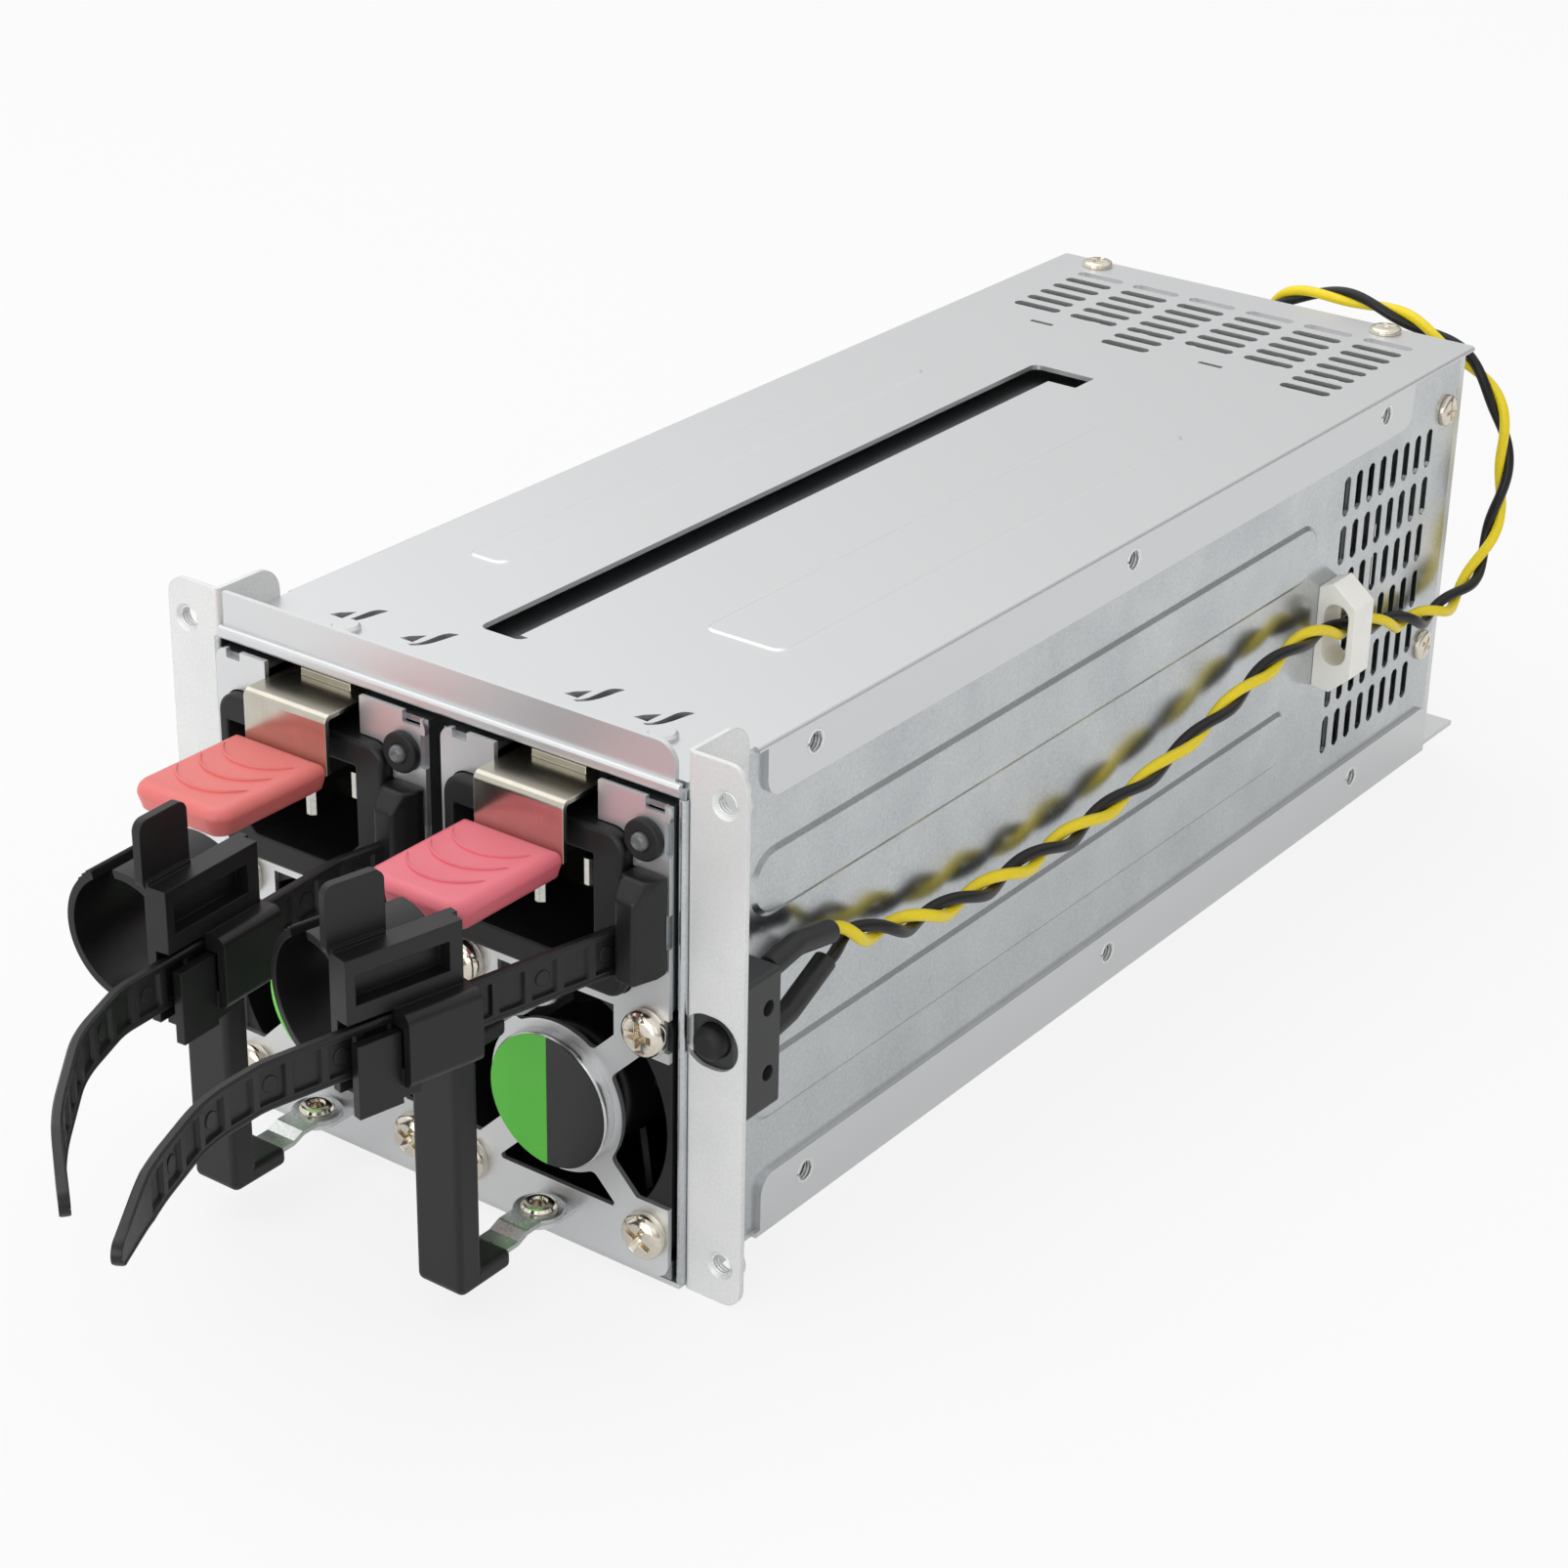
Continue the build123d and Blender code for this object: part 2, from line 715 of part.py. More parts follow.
# Twisted pair: along the right wall, through the saddle, round the rear corner
# and in at the hole of the rear panel. The points are chosen along the lead.
lead_points = [
    (45.9, 29.6, 44.0), (45.7, 40.0, 39.9), (45.4, 57.0, 36.2), (45.2, 80.0, 34.6), (45.2, 105.0, 34.9),
    (45.3, 129.0, 37.8), (45.3, 150.0, 41.8), (45.3, 165.5, 43.0), (45.3, 178.5, 39.4), (45.4, 191.0, 36.4),
    (45.5, 203.0, 32.4), (45.7, 214.5, 30.6), (45.9, 225.0, 32.6), (46.0, 232.0, 39.5), (46.6, 233.6, 50.0),
    (45.6, 233.4, 61.0), (40.5, 232.2, 70.0), (30.5, 231.4, 75.4), (18.0, 231.2, 78.2), (7.0, 231.0, 78.1),
    (-1.5, 231.0, 74.6), (-5.2, 231.0, 67.0), (-5.6, 230.0, 60.0), (-5.6, 225.6, 56.0), (-5.6, 220.5, 56.0)]


def corner_radii(points):
    """As large an arc at each corner as its two runs allow."""
    radii = []
    for before, corner, after in zip(points, points[1:], points[2:]):
        arriving = Vector(*corner) - Vector(*before)
        leaving = Vector(*after) - Vector(*corner)
        half_turn = math.radians(arriving.get_angle(leaving)) / 2
        radii.append(0.45 * min(arriving.length, leaving.length) / math.tan(half_turn))
    return radii


with BuildPart() as alarm_lead:
    lead_radii = corner_radii(lead_points)
    with BuildLine() as route:
        FilletPolyline(*lead_points, radius=lead_radii)
    with BuildSketch(Plane(origin=route.line @ 0, z_dir=route.line % 0)) as section:
        Circle(lead_diameter / 2)
    sweep(section.sketch, path=route.line)
save(alarm_lead.part, "alarm_lead")
print("lead radii", [round(radius, 1) for radius in lead_radii])
lead_length = route.wires()[0].length
print("lead length", round(lead_length, 1), "volume", round(alarm_lead.part.volume, 1),
      "section by length", round(lead_length * math.pi * lead_diameter ** 2 / 4, 1))

# Nylon saddle that holds the lead on the wall
with BuildPart() as cable_saddle:
    saddle_x = cage_half + saddle_reach
    with BuildSketch(upright(saddle_start + saddle_length)):
        with BuildLine():
            Polyline((wall_out, 29.4), (wall_out, 47.6), (wall_out + 2.6, 48.8), (saddle_x, 45.0),
                     (saddle_x, 32.4), (wall_out + 3.4, 29.0), close=True)
        make_face()
        with Locations(tuple(saddle_hole)):
            SlotOverall(saddle_hole_height, saddle_hole_width, rotation=90, mode=Mode.SUBTRACT)
    extrude(amount=saddle_length)
save(cable_saddle.part, "cable_saddle")

# The rest belongs to a module, drawn about the module's own middle

# Shell: an open tray and a lid
with BuildPart() as shell_tray:
    block((-module_width / 2, module_width / 2), (plate_back, module_depth), (shell_z0, shell_z1 - sheet))
    openings = [faces().sort_by(Axis.Z)[-1], faces().sort_by(Axis.Y)[0]]
    offset(amount=-sheet, openings=openings, kind=Kind.INTERSECTION)
    block((-module_width, module_width), (plate_back - 1, fan_back + 1.5),
          (fan_z - fan_size / 2 - fit, fan_top + fit), Mode.SUBTRACT)
    block((edge_left - sheet, edge_right + sheet), (module_depth - 2 * sheet, module_depth + 1),
          (socket_low + 2, socket_high - 2), Mode.SUBTRACT)
    with BuildSketch(upright(module_depth)):
        with Locations((shell_vent_x, (shell_z0 + shell_z1) / 2)):
            with GridLocations(shell_vent_pitch, vent_row_pitch, 5, 6):
                add(vent(vent_width, vent_length))
    extrude(amount=sheet, mode=Mode.SUBTRACT)

with BuildPart() as shell_cover:
    block((-module_width / 2, module_width / 2), (plate_back, module_depth), (shell_z1 - sheet, shell_z1))
    for side in (-1, 1):
        inside = side * (module_width / 2 - sheet - running_fit)
        block(sorted((inside, inside - side * sheet)), (lid_flange_start, module_depth - 5 * sheet),
              (shell_z1 - lid_flange, shell_z1 - sheet))
    block((latch_left - 0.6, latch_right + 2.2), (plate_back - 1, lid_cut), (shell_z1 - 7, shell_z1 + 1),
          Mode.SUBTRACT)

# Front plate with the fan guard and the two handle tabs
with BuildPart() as front_plate:
    arm_reach = fan_offset * math.sqrt(2)
    with BuildSketch(upright(plate_back)) as plate_outline:
        with Locations((0, (plate_z0 + plate_z1) / 2)):
            RectangleRounded(module_width, plate_z1 - plate_z0, plate_corner)
        with Locations((0, fan_z + 2.0)):
            Rectangle(guard_width, guard_height, mode=Mode.SUBTRACT)
        with Locations((0, fan_z + 0.5)):
            Rectangle(2 * fan_offset + arm_width, guard_side_height, mode=Mode.SUBTRACT)
        with Locations((module_width / 2, fan_z + 0.5)):
            Rectangle(8, guard_side_height, mode=Mode.SUBTRACT)
        with Locations((0, fan_z)):
            Circle(hub_radius)
            with PolarLocations(arm_reach / 2, 4, start_angle=45):
                Rectangle(arm_reach, arm_width)
        with Locations((inlet_shift, inlet_z)):
            RectangleRounded(inlet_width + 2 * fit, inlet_height + 2 * fit, inlet_corner, mode=Mode.SUBTRACT)
        with Locations(((latch_left + latch_right) / 2 + 0.7, plate_z1)):
            Rectangle(latch_right - latch_left + 2.4, 2 * (plate_z1 - inlet_z1) + 6, mode=Mode.SUBTRACT)
        with Locations((module_width / 2 - 4.1, band_high - 0.1)):
            Rectangle(4.0, 14.2, mode=Mode.SUBTRACT)
        with Locations((led_x + 1.4, plate_z1)):
            Rectangle(3.2, 3.4, mode=Mode.SUBTRACT)
        with Locations((-module_width / 2 + 3.4, plate_z1)):
            Rectangle(2.6, 2.6, mode=Mode.SUBTRACT)
        for z in notch_places:
            with Locations((module_width / 2, z)):
                Rectangle(1.6, 5.0, mode=Mode.SUBTRACT)
        with Locations((led_x, led_z)):
            Circle(led_barrel + running_fit, mode=Mode.SUBTRACT)
        with Locations((0, fan_z)):
            with GridLocations(fan_screw_pitch, fan_screw_pitch, 2, 2):
                Circle(fan_screw_radius + running_fit, mode=Mode.SUBTRACT)
    extrude(amount=sheet)
    for z in (pivot_low - tab_gap - sheet, pivot_high + tab_gap):
        with BuildSketch(Plane.XY.offset(z)):
            with Locations((0, (plate_front + pivot_y) / 2)):
                Rectangle(2 * (rivet_head + tab_margin), plate_front - pivot_y)
            with Locations((0, pivot_y)):
                Circle(rivet_head + tab_margin)
                Circle(rivet_radius, mode=Mode.SUBTRACT)
        extrude(amount=sheet)

# Power inlet with its shrouded mouth and three blades
mouth_z0 = inlet_z - mouth_height / 2
pin_back = inlet_front + mouth_depth + pin_root
pin_tips = [(mouth_shift - pin_pitch / 2, inlet_z + pin_rise, inlet_front + pin_recess),
            (mouth_shift + pin_pitch / 2, inlet_z + pin_rise, inlet_front + pin_recess),
            (mouth_shift, inlet_z - pin_rise, inlet_front + earth_pin_recess)]


def pin(x, z, tip, mode=Mode.ADD):
    """One flat pin of the inlet, or the hole it sits in."""
    block((x - pin_width / 2, x + pin_width / 2), (tip, pin_back),
          (z - pin_height / 2, z + pin_height / 2), mode)


with BuildPart() as inlet_pins:
    for x, z, tip in pin_tips:
        pin(x, z, tip)
    for y in (inlet_front + pin_recess, inlet_front + earth_pin_recess):
        chamfer(edges().filter_by(Axis.Z).filter_by_position(Axis.Y, y, y), length=pin_width * 0.3)

with BuildPart() as inlet_body:
    with BuildSketch(upright(inlet_front)):
        with Locations((inlet_shift, inlet_z)):
            RectangleRounded(inlet_width, inlet_height, inlet_corner)
    extrude(amount=-inlet_depth)
    fillet(edges().group_by(Axis.Y)[0], radius=0.8)
    with BuildSketch(upright(inlet_front)):
        with Locations((mouth_shift, inlet_z)):
            Rectangle(mouth_width, mouth_height)
        chamfer(vertices().group_by(Axis.Y)[0], length=mouth_cut)
    extrude(amount=-mouth_depth, mode=Mode.SUBTRACT)
    for x, z, tip in pin_tips:
        pin(x, z, tip, Mode.SUBTRACT)

# Indicator: a black holder with a domed lens
with BuildPart() as led_holder:
    rod(led_flange, (led_x, plate_front, led_z), led_flange_rise, (0, -1, 0))
    fillet(edges().filter_by(GeomType.CIRCLE).sort_by(Axis.Y)[0], radius=led_flange_rise * 0.3)
    rod(led_barrel, (led_x, plate_front, led_z), led_barrel_length, (0, 1, 0))
    rod(lens_radius, (led_x, plate_front - led_flange_rise, led_z), lens_length, (0, 1, 0), Mode.SUBTRACT)

with BuildPart() as led_lens:
    rod(lens_radius, (led_x, plate_front - led_flange_rise, led_z), lens_length, (0, 1, 0))
    rod(lens_radius, (led_x, plate_front - led_flange_rise, led_z), lens_dome, (0, -1, 0))
    fillet(edges().filter_by(GeomType.CIRCLE).sort_by(Axis.Y)[0], radius=lens_dome * 0.9)

# Fan: frame with struts, bladed rotor, screws and the disc on its guard
fan_axis = Axis((0, 0, fan_z), (0, 1, 0))
with BuildPart() as fan_frame:
    with BuildSketch(upright(plate_back)):
        with Locations((0, fan_z)):
            RectangleRounded(fan_size, fan_size, fan_corner)
            Circle(fan_bore, mode=Mode.SUBTRACT)
    extrude(amount=-fan_flange)
    with BuildSketch(upright(fan_back)):
        with Locations((0, fan_z)):
            RectangleRounded(fan_size, fan_size, fan_corner)
            Circle(fan_bore, mode=Mode.SUBTRACT)
    extrude(amount=fan_flange)
    with BuildSketch(upright(plate_back + fan_flange)):
        with Locations((0, fan_z)):
            Circle(fan_size / 2 - running_fit)
            with GridLocations(fan_screw_pitch, fan_screw_pitch, 2, 2):
                Circle(fan_post)
            Circle(fan_bore, mode=Mode.SUBTRACT)
    extrude(amount=2 * fan_flange - fan_depth)
    with BuildSketch(upright(fan_back)):
        with Locations((0, fan_z)):
            Circle(rotor_radius + 1)
            with PolarLocations(fan_bore / 2 + 3, 4, start_angle=20):
                Rectangle(fan_bore - 5, strut_width)
    extrude(amount=strut_depth)
    rod(shaft_radius, (0, fan_back - strut_depth, fan_z), shaft_length, (0, -1, 0))
    with BuildSketch(upright(plate_back)):
        with Locations((0, fan_z)):
            with GridLocations(fan_screw_pitch, fan_screw_pitch, 2, 2):
                Circle(fan_screw_radius + running_fit)
    extrude(amount=-fan_screw_length - strut_depth, mode=Mode.SUBTRACT)

with BuildPart() as fan_blade:
    blade_middle = plate_back + rotor_gap + rotor_length / 2
    for reach, turn, chord in ((rotor_radius - rotor_wall / 2, blade_root_turn, blade_root_chord),
                               (blade_tip, blade_tip_turn, blade_tip_chord)):
        with BuildSketch(Plane.XY.offset(fan_z + reach)):
            with Locations((0, blade_middle)):
                Rectangle(chord, blade_thickness, rotation=turn)
    loft()

with BuildPart() as fan_rotor:
    rod(rotor_radius, (0, plate_back + rotor_gap, fan_z), rotor_length, (0, 1, 0))
    fillet(edges().filter_by(GeomType.CIRCLE).sort_by(Axis.Y)[0], radius=rotor_face * 0.9)
    hollow_front = plate_back + rotor_gap + rotor_face
    with BuildSketch(upright(hollow_front)):
        with Locations((0, fan_z)):
            Circle(rotor_radius - rotor_wall)
            Circle(shaft_radius + rotor_face, mode=Mode.SUBTRACT)
    extrude(amount=-rotor_length, mode=Mode.SUBTRACT)
    rod(shaft_radius + running_fit, (0, fan_back - strut_depth - shaft_length - strut_depth / 3, fan_z),
        rotor_length, (0, 1, 0), Mode.SUBTRACT)
    for k in range(blade_count):
        add(fan_blade.part.rotate(fan_axis, 360 * k / blade_count))

with BuildPart() as hub_badge:
    rod(badge_radius, (0, plate_front, fan_z), badge_height, (0, -1, 0))
    chamfer(edges().filter_by(GeomType.CIRCLE).sort_by(Axis.Y)[0], length=0.3)

screw_solids = []
for x in (-fan_offset, fan_offset):
    for z in (fan_z - fan_offset, fan_z + fan_offset):
        with BuildPart() as fan_screw:
            rod(fan_screw_head, (x, plate_front, z), fan_screw_rise, (0, -1, 0))
            fillet(edges().filter_by(GeomType.CIRCLE).sort_by(Axis.Y)[0], radius=fan_screw_rise * 0.65)
            rod(fan_screw_radius, (x, plate_front, z), fan_screw_length, (0, 1, 0))
        screw_solids.append(fan_screw.part)
fan_screws = Compound(children=screw_solids)

# Latch: a spring tongue rooted under the lid, and its thumb pad
with BuildPart() as latch_spring:
    with BuildSketch(Plane.YZ.offset(latch_left)):
        with BuildLine():
            FilletPolyline((latch_root, shell_z1 - 1.5 * sheet), (latch_root - 8, shell_z1 - 1.5 * sheet),
                           (latch_root - 10, latch_z - sheet / 2),
                           (latch_front + sheet / 2, latch_z - sheet / 2),
                           (latch_front + sheet / 2, pad_z1 - tongue_grip), radius=sheet)
        trace(line_width=sheet)
    extrude(amount=latch_right - latch_left)
    block((latch_left + hook_inset, latch_right - hook_inset), (hook_start, hook_start + hook_length),
          (latch_z, frame_z0 - hook_gap))
    chamfer(edges().filter_by(Axis.X).group_by(Axis.Z)[-1].sort_by(Axis.Y)[0], length=hook_slope)

with BuildPart() as latch_pad:
    with BuildSketch(Plane.XY.offset(pad_z0)):
        with Locations(((pad_left + latch_right) / 2, latch_front + 0.4 - pad_length / 2)):
            Rectangle(latch_right - pad_left, pad_length)
        fillet(vertices().group_by(Axis.Y)[0], radius=pad_corner)
    extrude(amount=pad_thickness)
    fillet(edges().group_by(Axis.Z)[-1], radius=pad_edge)
    fillet(edges().group_by(Axis.Z)[0], radius=pad_edge)
    block((latch_left, latch_right + 1), (latch_front, latch_front + sheet),
          (pad_z1 - tongue_grip, pad_z1 + 1), Mode.SUBTRACT)

# Pull handle: moulded grip, two cranked steel straps and their rivets
with BuildPart() as handle_grip:
    with BuildSketch(Plane.YZ.offset(-grip_width / 2)):
        with BuildLine():
            Polyline((grip_front, grip_low), (foot_back, grip_low), (foot_back, grip_low + grip_foot_height),
                     (grip_back, grip_low + grip_foot_height), (grip_back, grip_high - grip_foot_height),
                     (foot_back, grip_high - grip_foot_height), (foot_back, grip_high),
                     (grip_front, grip_high), close=True)
        make_face()
        outer_corners = vertices().group_by(Axis.X)[0]
        fillet(outer_corners, radius=grip_corner)
    extrude(amount=grip_width)
    fillet(edges().filter_by(Axis.Z).group_by(Axis.Y)[0], radius=grip_edge)

crank = []
for low in (True, False):
    eye_z = pivot_low if low else pivot_high
    foot_z = grip_low + grip_foot_height / 2 if low else grip_high - grip_foot_height / 2
    with BuildPart() as handle_strap:
        with BuildSketch(Plane.YZ.offset(-strap_width / 2)):
            with BuildLine():
                FilletPolyline((pivot_y, eye_z), (pivot_y - crank_start, eye_z),
                               (pivot_y - crank_end, foot_z), (foot_back, foot_z), radius=grip_edge)
            trace(line_width=sheet)
        extrude(amount=strap_width)
        rod(strap_eye, (0, pivot_y, eye_z - sheet / 2), sheet, (0, 0, 1))
        rod(rivet_radius + running_fit, (0, pivot_y, eye_z - 2), 4, (0, 0, 1), Mode.SUBTRACT)
    crank.append(handle_strap.part)
handle_straps = Compound(children=crank)

rivet_solids = []
for eye_z, outward in ((pivot_low, 1), (pivot_high, -1)):
    tab_face = eye_z - outward * (tab_gap + sheet)
    strap_face = eye_z + outward * (sheet / 2 + running_fit)
    with BuildPart() as handle_rivet:
        rod(rivet_radius, (0, pivot_y, tab_face), 2 * sheet + running_fit, (0, 0, outward))
        rod(rivet_head, (0, pivot_y, strap_face), rivet_head_rise, (0, 0, outward))
        rod(rivet_foot, (0, pivot_y, tab_face), rivet_foot_rise, (0, 0, -outward))
    rivet_solids.append(handle_rivet.part)
handle_rivets = Compound(children=rivet_solids)

# Inner parts of a module
with BuildPart() as module_board:
    block((edge_left, edge_right), (module_board_start, module_depth - sheet),
          (shell_z0 + sheet, shell_z1 - lid_flange - edge_margin))
    block((edge_left, edge_right), (module_depth - sheet, module_depth + edge_reach),
          (socket_low + edge_margin, socket_high - edge_margin))

with BuildPart() as capacitors:
    for places, rise, radius, length in ((large_cans, large_can_rise, large_can_radius, large_can_length),
                                         (small_cans, small_can_rise, small_can_radius, small_can_length)):
        for y in places:
            rod(radius, (edge_left, y, shell_z0 + rise), length, (-1, 0, 0))

with BuildPart() as transformer:
    core_middle = shell_z0 + core_rise
    block((edge_left - core_width, edge_left), (core_start, core_start + core_length),
          (core_middle - core_height / 2, core_middle + core_height / 2))
    fillet(edges().filter_by(Axis.X), radius=core_corner)
    block((edge_left - core_width - core_margin / 2, edge_left),
          (core_start + core_margin * 2, core_start + core_length - core_margin * 2),
          (core_middle - core_height / 2 - core_margin, core_middle + core_height / 2 + core_margin))

# Cord strap of each module: a toothed band from an anchor beside the inlet. The
# left and the right one hang in different curves
strap_routes = {
    "left": [(16.6, -4.6), (14.6, -15.0), (17.2, -57.6), (21.6, -68.6), (33.6, -83.4), (45.6, -93.3)],
    "right": [(14.6, -4.4), (2.1, -59.8), (2.4, -70.0), (8.1, -84.5), (15.5, -96.7)]}
strap_bends = {"left": [7.0, 12.0, 26.0, 60.0], "right": [11.0, 26.0, 60.0]}
clip_places = {"left": -40.5, "right": -39.6}
clip_runs = {"left": (1, 2), "right": (0, 1)}


def band_plane(path, share, lift):
    """The plane of the band's right face, or of its middle, at a share of its length."""
    point = path.position_at(share)
    along = path.tangent_at(share)
    outward = along.cross(Vector(0, 0, -1))
    middle = Vector(point.X, point.Y, band_low + band_height / 2)
    return Plane(origin=middle + outward * lift, x_dir=along, z_dir=outward)


def cord_strap(side):
    """The anchor on the front plate and the band that leaves it."""
    with BuildPart() as strap:
        with BuildSketch(Plane.XY.offset(band_low - anchor_foot)):
            with BuildLine():
                Polyline((anchor_left, plate_front), (anchor_left, plate_front - 3.4),
                         (anchor_left + 1.2, plate_front - anchor_depth),
                         (anchor_left + 4.4, plate_front - anchor_depth),
                         (anchor_left + anchor_width, plate_front - 2.0),
                         (anchor_left + anchor_width, plate_front), close=True)
            make_face()
        extrude(amount=anchor_height)
        upper = edges().filter_by(Axis.X).group_by(Axis.Z)[-1].group_by(Axis.Y)[0]
        chamfer(upper, length=anchor_cut)
        block((anchor_left, anchor_left + anchor_peg), (plate_front, plate_back + sheet),
              (band_low + running_fit, band_low + anchor_height - anchor_foot))
        with BuildSketch(Plane.XY.offset(band_low)):
            with BuildLine() as route:
                FilletPolyline(*strap_routes[side], radius=strap_bends[side])
            trace(line_width=band_thickness)
        extrude(amount=band_height)
        path = route.wires()[0]
        with BuildSketch(band_plane(path, 1, 0)) as waste:
            Rectangle(2 * tip_taper, 2 * band_height)
            with BuildLine():
                Polyline((-tip_taper, -band_height / 2), (-tip_half, -tip_half), (-tip_half, tip_half),
                         (-tip_taper, band_height / 2), close=True)
            make_face(mode=Mode.SUBTRACT)
            with Locations((-tip_half, 0)):
                Circle(tip_half, mode=Mode.SUBTRACT)
        extrude(waste.sketch, amount=tip_taper / 2, both=True, mode=Mode.SUBTRACT)
        for k in range(int((path.length - pocket_first - anchor_depth) / pocket_pitch)):
            with BuildSketch(band_plane(path, 1 - (pocket_first + k * pocket_pitch) / path.length,
                                        band_thickness / 2)) as hollow:
                Rectangle(pocket_width, pocket_height)
            extrude(hollow.sketch, amount=-pocket_depth, mode=Mode.SUBTRACT)
    return strap.part


def cord_clip(side):
    """The releasable clip: a loop for the plug's cord, a window plate, a lock box and a thumb tab."""
    start, end = [Vector(*strap_routes[side][k]) for k in clip_runs[side]]
    run = (end - start).normalized()
    share = (clip_places[side] - start.Y) / run.Y
    middle = start + run * share
    turn = math.degrees(math.atan2(run.X, -run.Y))
    loop_z = band_high + ring_rise
    inner = clip_left + clip_wall
    window_top = band_high + window_rise
    lock_low = band_low - lock_foot
    slot = band_thickness / 2 + fit
    with BuildPart() as clip:
        with BuildSketch(upright(ring_front)) as loop:
            with Locations((ring_x, loop_z)):
                Circle(ring_radius)
                Circle(ring_radius - ring_wall, mode=Mode.SUBTRACT)
            with Locations((ring_x + ring_radius, loop_z)):
                Rectangle(2 * (ring_radius + ring_x - clip_left), 2 * ring_radius, mode=Mode.SUBTRACT)
            with Locations((ring_x - 3.0, loop_z + ring_radius - 0.6)):
                Rectangle(4.0, 3.4, rotation=20, mode=Mode.SUBTRACT)
        extrude(loop.sketch, amount=ring_length)
        block((clip_left, inner), (clip_front, clip_back), (lock_low, window_top))
        block((clip_left, lock_right), (lock_front, clip_back), (lock_low, band_high + 1.0))
        fillet(edges().filter_by(Axis.Y).group_by(Axis.X)[-1], radius=clip_wall)
        block((slot - fit, lock_right - clip_wall), (lock_front - 1, lock_front + lock_cavity),
              (band_low, band_high - clip_wall), Mode.SUBTRACT)
        block((inner, inner + 2.2), (clip_front, clip_back - 0.8), (band_high + 1.0, window_top))
        block((inner, inner + 2.3), (clip_front + clip_wall, clip_back - 2 * clip_wall),
              (band_high + 3.4, band_high + 7.6), Mode.SUBTRACT)
        block((flap_left_face, flap_left_face + clip_wall), (clip_front + 0.5, lock_front),
              (band_low - flap_foot, band_high - 1.6))
        block((clip_left, flap_left_face + clip_wall), (-6.0, 1.0), (lock_low - 1.7, lock_low))
        with BuildSketch(Plane.YZ.offset(clip_left - 1.0)) as tab:
            with Locations((clip_front + tab_width / 2 - 0.4, band_high + 14)):
                RectangleRounded(tab_width, tab_height, 2 * sheet)
        extrude(tab.sketch, amount=clip_wall - 0.1)
        block((clip_left - 0.1, inner - 0.6), (clip_front, clip_front + 8),
              (window_top - 0.6, window_top + 0.6))
        block((-slot, slot), (-12, 12), (band_low - fit, band_high + fit), Mode.SUBTRACT)
    return clip.part.rotate(Axis.Z, turn).translate(Vector(middle.X, middle.Y, 0))


module_pieces = {
    "shell_tray": shell_tray.part, "shell_cover": shell_cover.part, "front_plate": front_plate.part,
    "inlet_body": inlet_body.part, "inlet_pins": inlet_pins.part, "led_holder": led_holder.part,
    "led_lens": led_lens.part, "fan_frame": fan_frame.part, "fan_rotor": fan_rotor.part,
    "hub_badge": hub_badge.part, "fan_screws": fan_screws, "latch_spring": latch_spring.part,
    "latch_pad": latch_pad.part, "handle_grip": handle_grip.part, "handle_straps": handle_straps,
    "handle_rivets": handle_rivets, "module_board": module_board.part, "capacitors": capacitors.part,
    "transformer": transformer.part}
for side, centre in (("left", -pitch / 2), ("right", pitch / 2)):
    module_place = Location((centre, 0, 0))
    for name, piece in module_pieces.items():
        save(piece.moved(module_place), f"{name}_{side}")
    save(cord_strap(side).moved(module_place), f"cord_strap_{side}")
    save(cord_clip(side).moved(module_place), f"cord_clip_{side}")
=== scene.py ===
"""Looks of a hot swap server power supply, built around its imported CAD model.

A folded sheet steel cage holds two modules side by side. The classes below dress the cage,
the modules and the alarm lead one after the other, and add what is too fine for the CAD model:
screw recesses, threads, ridges, wire strands and solder joints. Lengths are in millimetres
until a mesh is made, and the meshes are in metres.
"""

import json
import logging
import math
from dataclasses import dataclass, field
from enum import Enum
from functools import partial

import bmesh
import bpy
import numpy as np
from bpy.types import Material, Mesh, Node, NodeSocket, NodeTree, Object, World
from mathutils import Matrix, Vector

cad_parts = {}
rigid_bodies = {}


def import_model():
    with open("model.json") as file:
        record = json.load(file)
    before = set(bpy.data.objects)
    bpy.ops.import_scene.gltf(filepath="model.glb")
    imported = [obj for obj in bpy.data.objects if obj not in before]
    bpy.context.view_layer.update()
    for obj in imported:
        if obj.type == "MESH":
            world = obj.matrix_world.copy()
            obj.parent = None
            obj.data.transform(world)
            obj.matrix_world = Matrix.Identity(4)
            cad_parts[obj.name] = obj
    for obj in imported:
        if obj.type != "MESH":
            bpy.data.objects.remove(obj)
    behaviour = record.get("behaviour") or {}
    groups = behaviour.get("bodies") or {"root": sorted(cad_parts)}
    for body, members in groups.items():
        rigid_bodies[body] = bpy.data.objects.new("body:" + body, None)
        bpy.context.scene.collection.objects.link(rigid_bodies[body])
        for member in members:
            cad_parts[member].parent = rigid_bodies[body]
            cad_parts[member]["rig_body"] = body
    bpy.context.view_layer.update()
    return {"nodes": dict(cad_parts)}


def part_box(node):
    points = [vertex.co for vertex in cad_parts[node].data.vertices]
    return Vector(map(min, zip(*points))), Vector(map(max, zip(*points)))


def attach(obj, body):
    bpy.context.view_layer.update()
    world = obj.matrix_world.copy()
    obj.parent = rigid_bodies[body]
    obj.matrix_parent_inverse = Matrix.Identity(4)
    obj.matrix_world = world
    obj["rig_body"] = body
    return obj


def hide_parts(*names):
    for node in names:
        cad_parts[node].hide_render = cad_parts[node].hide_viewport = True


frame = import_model()
MM = 0.001
WELD = 0.002
FLAT = math.radians(2.0)
SHARP = math.radians(40)
MODULE_X = 21.0
LOG = logging.getLogger("supply")
Pair = tuple[float, float]
Point = tuple[float, float, float]
Outline = tuple[Pair, ...]


